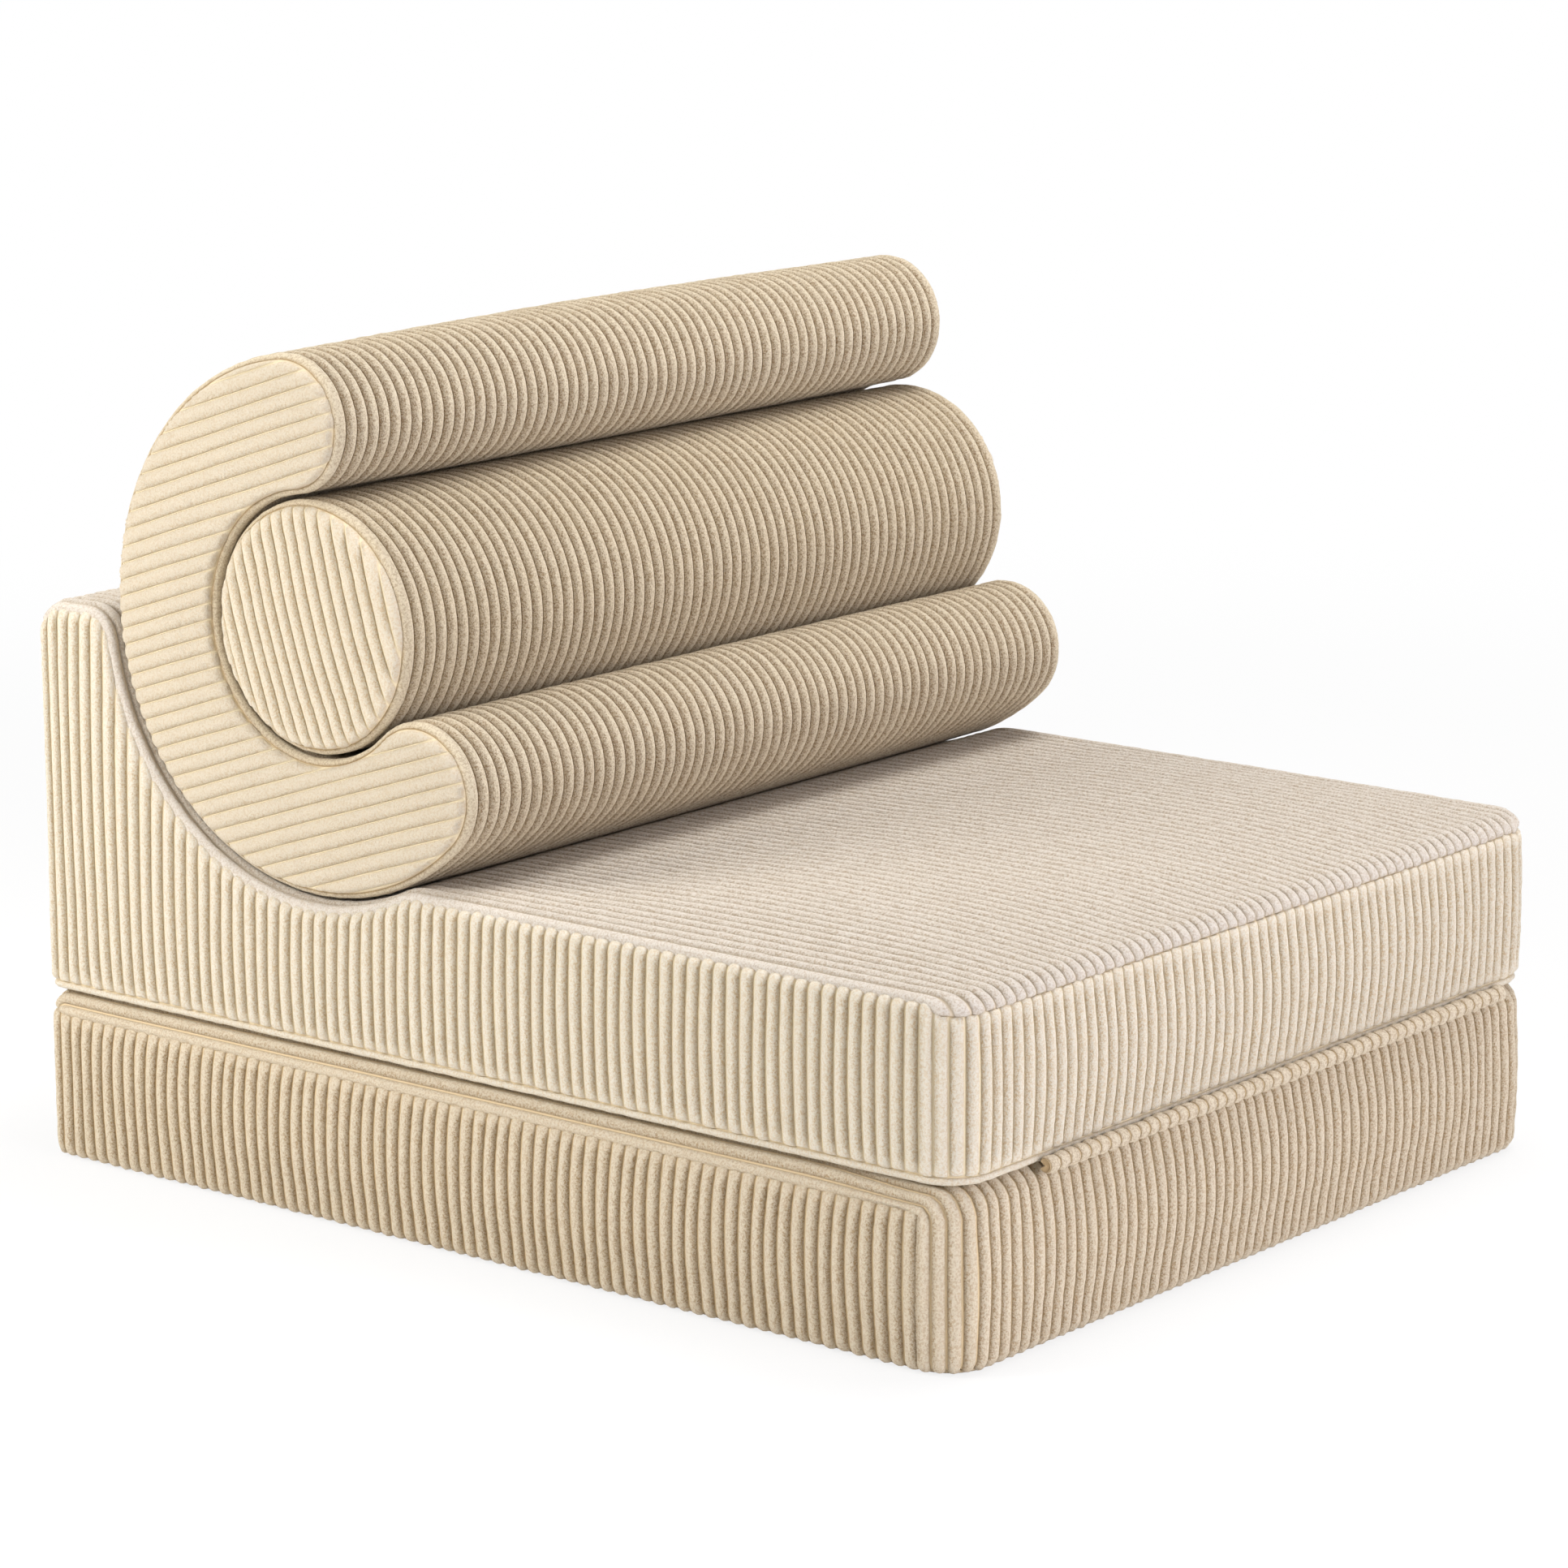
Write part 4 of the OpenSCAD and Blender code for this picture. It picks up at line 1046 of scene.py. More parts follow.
    def body_form(self, name: str, sections: Sequence[Array], body: str, node: str, held: Hold) -> None:
        """Make a cushion's foam as a closed form from its side outlines, and fill it out.

        Args:
            name: The piece's name.
            sections: Outlines from left to right, each with the same number of points in space.
            body: The body it moves with.
            node: The solid it stands for.
            held: How firmly each point is held while the cushion is filled.
        """
        rows, count = len(sections), len(sections[0])
        points = np.concatenate(sections)
        faces: list[list[int]] = []
        for j in range(rows - 1):
            for i in range(count):
                k = (i + 1) % count
                faces.append([j * count + i, (j + 1) * count + i, (j + 1) * count + k, j * count + k])
        faces.append(list(range(count)))
        faces.append([(rows - 1) * count + i for i in reversed(range(count))])
        obj = self.mesh_object(name, points, faces)
        obj.data.materials.append(self.materials[Slot.FOAM])
        self.fields[body] = filled(obj, held, Filling())
        self.finished(obj, body, node)


# Zips


@dataclass(frozen=True)
class Zip:
    """A coil zip in its slot. Its own frame has x along the tape and z out of the cloth."""

    name: str
    body: str
    length: float
    origin: Place
    along: Place
    out: Place
    slot_w: float = 14.0
    tape_drop: float = 7.4
    tape_t: float = 0.8
    coil_gap: float = 1.4
    lip: float = 2.5

    def frame(self) -> Array:
        """Rows of the zip's own x, y and z, in slab directions."""
        x, z = np.array(self.along), np.array(self.out)
        return np.stack([x, np.cross(z, x), z])

    def placed(self, points: Array) -> Array:
        """Own points as slab points."""
        return points @ self.frame() + np.array(self.origin)

    def facing_panel(self) -> Panel:
        """Cloth turned in round the slot, down to the tape: one loop of a bent profile."""
        profile = [(12.0, -7.0), (10.6, -4.4), (9.4, -3.0), (8.2, -2.7), (7.3, -3.3), (7.0, -4.6),
                   (7.0, -7.6)]
        half = self.length / 2 - self.slot_w / 2
        corner = [math.radians(a) for a in range(-90, 91, 15)]
        loop = [(half, math.cos(a), math.sin(a)) for a in corner]
        straight = max(int(self.length / 12), 2)
        loop += [(half - 2 * half * k / straight, 0.0, 1.0) for k in range(1, straight)]
        loop += [(-half, -math.cos(a), -math.sin(a)) for a in corner]
        loop += [(-half + 2 * half * k / straight, 0.0, -1.0) for k in range(1, straight)]
        rows = [[(x + d * cx, d * cy, z) for d, z in profile] for x, cx, cy in loop]
        points = self.placed(np.array(rows).reshape(-1, 3))
        faces = grid_faces(len(loop), len(profile), looped=True)
        probe = (len(loop) // 4) * (len(profile) - 1) + 2
        faces = facing(points, faces, probe, self.out)
        still = np.zeros(len(points))
        return Panel(points, still, still, still + FAR, still + FAR, still, faces)

    def build(self, shop: Workshop) -> None:
        """Make the woven tape and the coils, and dress the slider and its pull tab."""
        strip = (self.slot_w + 2 * self.lip - self.coil_gap) / 2
        long = self.length + 2 * self.lip
        rows = max(int(long / 8), 4)
        points, faces = [], []
        for side in (-1.0, 1.0):
            y0, y1 = side * self.coil_gap / 2, side * (self.coil_gap / 2 + strip)
            mid = (y0 + y1) / 2
            ring = [(y0, 0.0), (mid, 0.04), (y1, 0.0), (y1, -self.tape_t), (mid, -self.tape_t),
                    (y0, -self.tape_t)]
            base = len(points)
            for k in range(rows + 1):
                x = -long / 2 + long * k / rows
                points += [(x, y, -self.tape_drop + z) for y, z in ring]
            for k in range(rows):
                for i in range(6):
                    j = (i + 1) % 6
                    row, above = base + k * 6, base + (k + 1) * 6
                    quad = [row + i, row + j, above + j, above + i]
                    faces.append(quad if side > 0 else quad[::-1])
            ends = [[base + i for i in range(6)], [base + rows * 6 + i for i in range(6)]]
            faces.append(ends[0][::-1] if side > 0 else ends[0])
            faces.append(ends[1] if side > 0 else ends[1][::-1])
        tape = shop.mesh_object(f"{self.name}_woven_tape", self.placed(np.array(points)), faces)
        tape.data.materials.append(shop.materials[Slot.TAPE])
        shop.finished(tape, self.body, f"{self.name}_tape")
        coils = shop.mesh_object(f"{self.name}_coils", np.zeros((3, 3)), [(0, 1, 2)])
        grown(coils, shop.coils, {"Length": self.length * MM, "Material": shop.coil})
        turn = Matrix([[*(float(v) for v in column), 0.0] for column in self.frame().T] + [[0, 0, 0, 1]])
        here = (np.array(self.origin) + np.array([0.0, SET_BACK, 0.0])) * MM
        coils.data.transform(Matrix.Translation(Vector(here.tolist())) @ turn)
        shop.finished(coils, self.body, f"{self.name}_tape")
        for piece in ("slider", "pull"):
            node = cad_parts[f"{self.name}_{piece}"]
            for slot in node.material_slots:
                slot.material = shop.materials[Slot.METAL]


# Cushions


@dataclass(frozen=True)
class Shoulder:
    """Where a side's rounded edge runs out over a corner: an arc over y, round (mid_y, mid_z)."""

    mid_y: float
    mid_z: float
    r: float
    edge: float
    most: float

    def height(self, y: Array) -> Array:
        """Height of the side's seam over y, up to the middle of the arc."""
        return self.mid_z + np.sqrt(np.maximum(self.r ** 2 - (y - self.mid_y) ** 2, 0.0))

    def lean(self, y: Array, z: Array) -> Array:
        """How far the side has turned towards its seam, as a sine."""
        gap = self.r - np.hypot(y - self.mid_y, z - self.mid_z)
        return np.where(z > self.mid_z, np.clip(self.most - gap / self.edge, 0.0, self.most), 0.0)


@dataclass
class Slab:
    """What the mat and the seat share: a flat cushion with rounded corners seen from above."""

    half: float = 316.0
    front: float = -382.0
    back: float = 382.0
    front_corner: float = 32.0
    back_corner: float = 13.0
    base: float = 0.0
    top: float = 115.0
    zip_up: float = 57.5
    face_swell: float = 2.0
    side_swell: float = 1.0
    pile: float = 3.0
    least: float = 1.5
    edge: float = 16.0
    brow: float = 18.0
    base_edge: float = 7.0
    base_brow: float = 11.0
    foot: float = 1.0
    back_seam: float = 99.5
    zip_length: float = 480.0
    front_wales: int = 66
    back_wales: int = 65
    side_wales: int = 70

    def face_run(self, u: Array, corner: float, end: float, way: float) -> tuple[Array, ...]:
        """Follow a face and its two corners by length.

        Args:
            u: Length along the face from its middle.
            corner: Radius of its corners.
            end: Where the face stands.
            way: 1 for a front, from left to right, and -1 for a back, from right to left.

        Returns:
            x, y, and the outward direction.
        """
        flat = self.half - corner
        turn = np.clip((np.abs(u) - flat) / corner, 0.0, math.pi / 2)
        x = way * np.where(np.abs(u) <= flat, u, np.sign(u) * (flat + corner * np.sin(turn)))
        y = end + way * corner * (1.0 - np.cos(turn))
        return x, y, way * np.sign(u) * np.sin(turn), -way * np.cos(turn)

    def front_run(self, u: Array) -> tuple[Array, ...]:
        """The front's run."""
        return self.face_run(u, self.front_corner, self.front, 1.0)

    def back_run(self, u: Array) -> tuple[Array, ...]:
        """The back's run."""
        return self.face_run(u, self.back_corner, self.back, -1.0)

    def run_length(self, corner: float) -> float:
        """Length of a face with its two corners."""
        return 2 * (self.half - corner) + math.pi * corner

    def full(self, x: Array) -> Array:
        """Fullness across the width: 1 in the middle and 0 at the sides."""
        return 1.0 - np.clip(np.abs(x) / self.half, 0.0, 1.0) ** 4

    def upright(self, run: Callable[[Array], tuple[Array, ...]], low: float, high: float,
                top: tuple[float, float], shoulder: Optional[Shoulder] = None) -> Surface:
        """Surface of a front or back cloth with its corners.

        Args:
            run: Follows the face by length.
            low: Height at the foot of the cloth.
            high: Height at the head of the cloth.
            top: Top's height and its rounding at the face.
            shoulder: Where the cloth's head climbs at the corners, if it does.

        Returns:
            The surface.
        """
        def surface(u: Array, v: Array) -> Array:
            """Points at length u along the face and share v of the height."""
            x, y, nx, ny = run(u + 0.0 * v)
            head = high + 0.0 * y if shoulder is None else np.maximum(high, shoulder.height(y))
            z = low + (head - low) * v
            face = np.abs(ny)
            up, brow = z - self.base, self.base_brow
            lift = np.clip((up - brow) / (top[0] - top[1] - self.base - brow), 0.0, 1.0)
            swell = self.face_swell * self.full(x) * 4 * lift * (1 - lift)
            inset = face * fall(top[1], top[0] - z)
            inset = inset + face * fall(brow, up) + (1 - face) * fall(self.base_edge, up)
            lean = 0.0 * z if shoulder is None else shoulder.lean(y, z) * (1 - face) ** 2
            level = np.sqrt(1.0 - lean * lean)
            inset = inset + (shoulder.edge * (1.0 - level) if shoulder else 0.0)
            out = swell - inset - self.pile * level
            return np.stack([x + nx * out, y + ny * out, z - self.pile * lean], axis=2)
        return surface

    def plan_loop(self, inset: float, step: float) -> Array:
        """The outline seen from above, drawn in by inset: points with their outward directions."""
        rows: list[tuple[float, float, float, float]] = []
        front = self.run_length(self.front_corner)
        back = self.run_length(self.back_corner)
        for u in np.linspace(-front / 2, front / 2, int(front / step)):
            rows.append(tuple(float(v) for v in self.front_run(np.array(u))))
        low, high = self.front + self.front_corner, self.back - self.back_corner
        count = int((high - low) / step)
        rows += [(self.half, low + (high - low) * k / count, 1.0, 0.0) for k in range(1, count)]
        for u in np.linspace(-back / 2, back / 2, int(back / step)):
            rows.append(tuple(float(v) for v in self.back_run(np.array(u))))
        rows += [(-self.half, high - (high - low) * k / count, -1.0, 0.0) for k in range(1, count)]
        loop = np.array(rows)
        loop[:, 0] -= inset * loop[:, 2]
        loop[:, 1] -= inset * loop[:, 3]
        return loop

    def held(self, p: Array, n: Array) -> Array:
        """How firmly each point is held: 1 at seams, at the zip and under a cushion, 0 where it is free."""
        x, y, z = p.T
        upright = 1.0 - smooth(np.minimum(z - self.base, self.ceiling(y) - z) / 25.0)
        at_zip = (n[:, 1] > 0.5) * (1.0 - smooth((np.abs(z - self.base - self.zip_up) - 14.0) / 12.0))
        rim = 1.0 - smooth(np.minimum(self.half - np.abs(x), y - self.front) / 40.0)
        top = np.maximum(rim, self.pressed(y))
        lying = np.where(n[:, 2] > 0.0, top, 1.0)
        return np.where(np.abs(n[:, 2]) < 0.6, np.maximum(upright, at_zip), lying)

    def ceiling(self, y: Array) -> Array:
        """Height of the top."""
        return 0.0 * y + self.top

    def pressed(self, y: Array) -> Array:
        """How far another cushion lies on the top, 0 to 1."""
        return 0.0 * y + 1.0

    def underside(self, edge: float, start: float) -> list[Panel]:
        """The bottom cloth: one wale bound round its rim and straight wales inside it.

        Args:
            edge: Rounding between the underside and the faces.
            start: How far the seam stands in from the faces.

        Returns:
            The cloths.
        """
        loop = self.plan_loop(0.0, 6.0)
        span = max(edge * math.pi / 2 + 4.0, 9.0)
        across = np.array([-TUCK, *(t * span for t in PHASES), span, span + TUCK])
        phase = np.array([0.0, *PHASES, 0.0, 0.0])
        gap = np.minimum(across, span - across)
        turn = np.clip(across / edge, -1.0, math.pi / 2)
        past = np.maximum(across - edge * math.pi / 2, 0.0)
        inset = edge * (1 - np.cos(np.maximum(turn, 0.0))) + past + start
        z = self.foot - (self.foot - self.base) * np.sin(turn)
        inner = inset + self.pile * np.cos(np.clip(turn, 0, math.pi / 2))
        height = z + self.pile * np.sin(np.clip(turn, 0, math.pi / 2))
        x = loop[:, None, 0] - inner[None] * loop[:, None, 2]
        y = loop[:, None, 1] - inner[None] * loop[:, None, 3]
        rim = np.stack([x, y, height[None] + 0.0 * x], axis=2)
        rows, columns = rim.shape[:2]
        points = rim.reshape(-1, 3)
        faces = grid_faces(rows, columns, looped=True)
        faces = facing(points, faces, 40 * (columns - 1) + 7, (0.0, 0.0, -1.0))
        tiled = np.tile(gap, rows)
        still = np.zeros(rows * columns)
        rim_panel = Panel(points, np.tile(phase, rows), still, still + FAR, tiled, still + 1.6, faces)
        outline = self.plan_loop(start + edge + span - edge * math.pi / 2, 14.0)[:, :2]
        plan = FlatLaying(90.0, step=11.0, shift=5.05, drift=0.8, seed=2.0, phases=COARSE_PHASES)

        def raised(p: Array, gap: Array) -> Array:
            """Space points of the underside."""
            return np.column_stack([p, np.full(len(p), self.base + self.pile)])

        return [rim_panel, laid_flat(outline, plan, raised, (0.0, 0.0, -1.0))]

    def back_cloths(self, zip_z: float, top: tuple[float, float], seed: float, step: float, fine: int,
                    shoulder: Optional[Shoulder] = None) -> list[Panel]:
        """The back below and above its zip.

        Args:
            zip_z: Height of the zip.
            top: Top's height and its rounding at the face.
            seed: Shifts the drift of the wales.
            step: How far apart the upper cloth's rows of points lie.
            fine: How many places the upper cloth is measured at from foot to head.
            shoulder: Where the upper cloth's head climbs at the corners, if it does.

        Returns:
            The cloths.
        """
        reach = self.zip_length / 2
        plan = Laying(self.run_length(self.back_corner), self.back_wales, (0, 1, 0), sides=Edge.CARRIED_ON,
                      seed=seed, trim_reach=reach, seam_reach=reach + 50.0)
        lower = self.upright(self.back_run, self.foot, zip_z, top)
        upper = self.upright(self.back_run, zip_z, self.back_seam, top, shoulder)
        return [laid(lower, replace(plan, step=4.6, fine=160, trim_last=SLOT_TRIM, offset=-60.0)),
                laid(upper, replace(plan, step=step, fine=fine, trim_first=SLOT_TRIM))]

    def sections(self) -> list[Array]:
        """Side outlines of the foam from left to right."""
        made = []
        for x in np.linspace(-self.half + FOAM_IN, self.half - FOAM_IN, 15):
            s = np.array(self.half - abs(x))
            f = self.front + float(fall(self.front_corner, s)) + FOAM_IN
            b = self.back - float(fall(self.back_corner, s)) - FOAM_IN
            ring = self.foam_outline(f, b, float(fall(self.edge, s)) + FOAM_IN, s)
            made.append(np.column_stack([np.full(len(ring), x), ring]))
        return made

    def foam_outline(self, f: float, b: float, over: float, s: Array) -> Array:
        """Side outline of the foam.

        Args:
            f: Where it begins at the front.
            b: Where it ends at the back.
            over: How far below the top it lies.
            s: Distance from the side.

        Returns:
            Points (y, z) of a closed outline.
        """
        raise NotImplementedError

    def sew_sides(self, shop: Workshop, slot: Slot, body: str, right: Panel, left: Panel,
                  seed: float) -> None:
        """Sew both sides; the left one comes as a right one and is mirrored."""
        for name, panel, more in (("right", right, 0.0), ("left", left.mirrored(), 1.0)):
            shop.sew(f"{body}_{name}", [panel], slot, body, seed + more, lean=PILE_LEAN_SHADE)


@dataclass
class Mat(Slab):
    """The lower cushion, which folds out in front of the seat."""

    def top_front(self, c: Array, v: Array) -> Array:
        """One cloth from the back seam over the top and down the front.

        Args:
            c: Length across the front from its middle.
            v: 0 at the back seam and 1 at the foot of the front.

        Returns:
            The points.
        """
        half_front = self.run_length(self.front_corner) / 2
        flat = self.half - self.edge
        top_reach = flat + self.edge * math.pi / 2
        _, s_top, _ = side_run(c * top_reach / half_front, self.half, self.edge)
        s_front = self.half - np.abs(self.front_run(c + 0.0 * v)[0])
        bent, level, bent_again = 0.05, 0.8, 0.86
        round_back, along_top = part(v, 0, bent), part(v, bent, level)
        round_front, down = part(v, level, bent_again), part(v, bent_again, 1)
        blend = smooth((along_top - 0.86) / 0.14)
        s = s_top * (1 - blend) + s_front * blend
        x = np.sign(c) * (self.half - s)
        over = fall(self.edge, s)
        brow = np.maximum(self.brow - over, self.least)
        f = self.front + fall(self.front_corner, s)
        b = self.back - fall(self.back_corner, s)
        z_mid = self.top - over - brow
        start = np.arcsin(np.clip((self.back_seam - z_mid) / brow, -1, 1))
        turn_back = start + (math.pi / 2 - start) * round_back
        turn_front = math.pi / 2 * (1 + round_front)
        small = np.maximum(brow - self.pile, 0.4)
        y_b, z_b = b - brow + small * np.cos(turn_back), z_mid + small * np.sin(turn_back)
        y_t = (b - brow) + (f + brow - b + brow) * along_top
        y_f, z_f = f + brow + small * np.cos(turn_front), z_mid + small * np.sin(turn_front)
        y = np.where(v < bent, y_b, np.where(v < level, y_t, y_f))
        z = np.where(v < bent, z_b, np.where(v < level, z_mid + small, z_f))
        side = np.clip(1.0 - s / self.edge, 0.0, 1.0)
        x = x - np.sign(c) * self.pile * side
        low, high = self.foot, self.top - self.brow
        z_down = high + (low - high) * down
        wall = self.upright(self.front_run, low, high, (self.top, self.brow))
        on_wall = wall(c + 0.0 * v, (z_down - low) / (high - low))
        points = np.stack([x, y, z], axis=2)
        joint = smooth(part(v, 0.845, bent_again))[:, :, None]
        return np.where((v < bent_again)[:, :, None], points * (1 - joint) + on_wall * joint, on_wall)

    def side(self, u: Array, v: Array) -> Array:
        """The right side between its two vertical edges; u runs front to back."""
        low, high = self.foot, self.top - self.edge
        z = low + (high - low) * v + 0.0 * u
        reach = (self.back - self.back_corner - self.front - self.front_corner) / 2
        y = u + (self.back - self.back_corner + self.front + self.front_corner) / 2 + 0.0 * v
        bulge = smooth(np.minimum(z - low, high - z) / 14.0) * smooth((reach - np.abs(u)) / 30.0)
        x = self.half - self.pile + self.side_swell * bulge - fall(self.base_edge, z)
        return np.stack([x, y, z], axis=2)

    def build(self, shop: Workshop) -> None:
        """Make the mat's covers, foam and zip."""
        shop.body_form("mat_cushion", self.sections(), "mat", "mat_foam", self.held)
        front = self.run_length(self.front_corner)
        cover = laid(self.top_front, Laying(front, self.front_wales, (0, 0, 1), seed=1.0, drift=1.2, fine=900,
                                            cut=0.13))
        wall = ((cover.points[:, 2] < self.top - self.brow) & (cover.points[:, 1] < 0)
                & (cover.seam_gap > -TUCK))
        cover.seam_gap = np.where(wall, cover.end_gap, cover.seam_gap)
        shop.sew("mat_top_front", [cover], Slot.MAT, "mat", 11.0, lean=PILE_LEAN_SHADE_A_LITTLE)
        reach = self.back - self.back_corner - self.front - self.front_corner
        plan = Laying(reach, self.side_wales, (1, 0, 0), sides=Edge.CARRIED_ON, drift=1.2, step=4.6, fine=160)
        right, left = (laid(self.side, replace(plan, seed=seed)) for seed in (2.0, 5.0))
        self.sew_sides(shop, Slot.MAT, "mat", right, left, 12.0)
        zip_made = Zip("mat_zip", "mat", self.zip_length, (0.0, 385.0, self.zip_up), (1, 0, 0), (0, 1, 0))
        back = self.back_cloths(self.zip_up, (self.top, self.brow), 3.0, 4.6, 160)
        shop.sew("mat_back", [*back, zip_made.facing_panel()], Slot.MAT, "mat", 14.0)
        shop.sew("mat_bottom", self.underside(1.0, 4.5), Slot.MAT, "mat", 15.0)
        zip_made.build(shop)

    def foam_outline(self, f: float, b: float, over: float, s: Array) -> Array:
        """Side outline of the foam: a box with rounded edges."""
        under = float(fall(self.base_edge, s)) + FOAM_IN
        r = max(self.brow - over, 3.0)
        return rounded_outline([(f, under), (b, under), (b, self.top - over), (f, self.top - over)], r)


def rounded_outline(corners: Sequence[tuple[float, float]], r: float, steps: int = 5) -> Array:
    """A closed outline with every corner rounded by the same radius."""
    made: list[Array] = []
    count = len(corners)
    for i in range(count):
        here = np.array(corners[i], dtype=float)
        before = np.array(corners[i - 1], dtype=float) - here
        after = np.array(corners[(i + 1) % count], dtype=float) - here
        before /= np.linalg.norm(before)
        after /= np.linalg.norm(after)
        half_angle = math.acos(max(-1.0, min(1.0, float(before @ after)))) / 2
        reach = r / math.tan(half_angle)
        a, b = here + before * reach, here + after * reach
        for k in range(steps + 1):
            q = k / steps
            made.append((1 - q) ** 2 * a + 2 * q * (1 - q) * here + q * q * b)
    return np.array(made)


@dataclass
class Seat(Slab):
    """The upper cushion, whose back rises to a cradle with a round scoop."""

    base: float = 115.0
    top: float = 230.0
    cradle: float = 378.0
    edge: float = 12.0
    brow: float = 17.0
    base_edge: float = 6.0
    base_brow: float = 8.5
    crown: float = 4.0
    axis_y: float = 136.0
    axis_z: float = 385.0
    scoop: float = 174.966
    lip: float = 24.0
    crest: float = 26.0
    dip: float = 40.0
    foot: float = 120.5
    front_seam: float = 218.0
    back_seam: float = 361.0
    top_wales: int = 64
    zip_up: float = 48.0
    rim_turn: float = 45.0

    def rim(self) -> tuple[float, float, float]:
        """The seam at the top's sides: the sine of its turn, how far below the top and how far in it lies."""
        turn = math.radians(self.rim_turn)
        return math.sin(turn), self.edge * (1.0 - math.sin(turn)), self.edge * (1.0 - math.cos(turn))

    def shoulder(self, end: float, way: float, corner: float, top: tuple[float, float]) -> Shoulder:
        """The side's edge over the corner at one end; way is 1 at the front and -1 at the back."""
        turn, over, inwards = self.rim()
        r = top[1] - over
        mid = end + way * (float(fall(corner, np.array(inwards))) + r)
        return Shoulder(mid, top[0] - over - r, r, self.edge, turn)

    def ceiling(self, y: Array) -> Array:
        """Height of the top, also over the cradle."""
        return self.head(y, 0.0)

    def pressed(self, y: Array) -> Array:
        """1 under the backrest and behind it, 0 where the top is free."""
        return smooth((y + 90.0) / 60.0)

    def beside_scoop(self, top: float, r: Array, over: Array, side: float) -> tuple[Array, Array]:
        """Middle of a rounding that meets the scoop, ahead of it or behind it."""
        z = top - over - r
        return self.axis_y + side * np.sqrt((self.scoop + over + r) ** 2 - (self.axis_z - z) ** 2), z

    def scoop_ends(self, lip: Array, dip: Array, over: Array) -> tuple[Array, ...]:
        """Middles of the lip's and the dip's roundings, and the turns at which the scoop starts and ends."""
        lip_y, lip_z = self.beside_scoop(self.cradle, lip, over, 1.0)
        dip_y, dip_z = self.beside_scoop(self.top, dip, over, -1.0)
        start = np.arctan2(lip_z - self.axis_z, lip_y - self.axis_y)
        end = np.arctan2(dip_z - self.axis_z, dip_y - self.axis_y)
        return lip_y, lip_z, dip_y, dip_z, start, end

    def top_surface(self, a: Array, v: Array) -> Array:
        """The top cloth from the front seam over the cradle to the back seam.

        Args:
            a: Length across the top from its middle.
            v: 0 at the front seam and 1 at the back seam.

        Returns:
            The points.
        """
        x, s, over = side_run(a + 0.0 * v, self.half, self.edge)
        lean = np.clip(1.0 - s / self.edge, 0.0, 1.0)
        x = x - np.sign(a) * self.pile * lean
        t = self.pile * np.sqrt(1.0 - lean * lean)
        f = self.front + fall(self.front_corner, s)
        b = self.back - fall(self.back_corner, s)
        brow, crest = np.maximum(self.brow - over, self.least), np.maximum(self.crest - over, self.least)
        lip, dip = np.maximum(self.lip - over, self.least), np.maximum(self.dip - over, self.least)
        lip_y, lip_z, dip_y, dip_z, start, end = self.scoop_ends(lip, dip, over)
        marks = (0.0, 0.03, 0.43, 0.46, 0.87, 0.92, 0.95, 1.0)
        q = [part(v, marks[i], marks[i + 1]) for i in range(7)]
        flat_top = self.top - over - t
        brow_z = self.top - over - brow
        low = math.pi - np.arcsin(np.clip((self.front_seam - brow_z) / brow, -1, 1))
        turn = low + (math.pi / 2 - low) * q[0]
        small = np.maximum(brow - t, 0.3)
        made = [(f + brow + small * np.cos(turn), brow_z + small * np.sin(turn))]
        made.append((f + brow + (dip_y - f - brow) * q[1],
                     flat_top + self.crown * self.full(x) * 4 * q[1] * (1 - q[1])))
        turn = math.pi / 2 + (math.pi + end - math.pi / 2) * q[2]
        made.append((dip_y + (dip - t) * np.cos(turn), dip_z + (dip - t) * np.sin(turn)))
        turn = end + (start - end) * q[3]
        hollow = self.scoop + over + t
        made.append((self.axis_y + hollow * np.cos(turn), self.axis_z + hollow * np.sin(turn)))
        turn = math.pi + start + (math.pi / 2 - math.pi - start) * q[4]
        small = np.maximum(lip - t, 0.3)
        made.append((lip_y + small * np.cos(turn), lip_z + small * np.sin(turn)))
        made.append((lip_y + (b - crest - lip_y) * q[5], self.cradle - over - t + 0.0 * q[5]))
        crest_z = self.cradle - over - crest
        high = np.arcsin(np.clip((self.back_seam - crest_z) / crest, -1, 1))
        turn = math.pi / 2 + (high - math.pi / 2) * q[6]
        small = np.maximum(crest - t, 0.3)
        made.append((b - crest + small * np.cos(turn), crest_z + small * np.sin(turn)))
        return np.stack([x, *pieced(v, marks, made)], axis=2)

    def head(self, y: Array, over: float) -> Array:
        """Height of the cradle's outline at y, where the top has fallen away by over."""
        crest, lip, dip = self.crest - over, self.lip - over, self.dip - over
        ends = self.scoop_ends(lip, dip, np.array(float(over)))
        lip_y, lip_z, dip_y, dip_z, start, end = (float(v) for v in ends)
        drawn_in = max(self.edge - max(over, 0.0), 0.0)
        s = np.array(self.edge - math.sqrt(self.edge ** 2 - drawn_in ** 2))
        b = self.back - float(fall(self.back_corner, s))
        hollow = self.scoop + over
        dip_end = self.axis_y + hollow * math.cos(end)
        lip_start = self.axis_y + hollow * math.cos(start)

        def bow(mid: float, r: float) -> Array:
            """Upper half of a circle over y."""
            return np.sqrt(np.maximum(r * r - (y - mid) ** 2, 0.0))

        z = np.full_like(y, self.top - over)
        z = np.where(y > dip_y, dip_z + bow(dip_y, dip), z)
        z = np.where(y > dip_end, self.axis_z - bow(self.axis_y, hollow), z)
        z = np.where(y > lip_start, lip_z + bow(lip_y, lip), z)
        z = np.where(y > lip_y, self.cradle - over, z)
        rounded = self.cradle - over - crest + bow(b - crest, crest)
        return np.where(y > b - crest, np.maximum(rounded, self.back_seam), z)

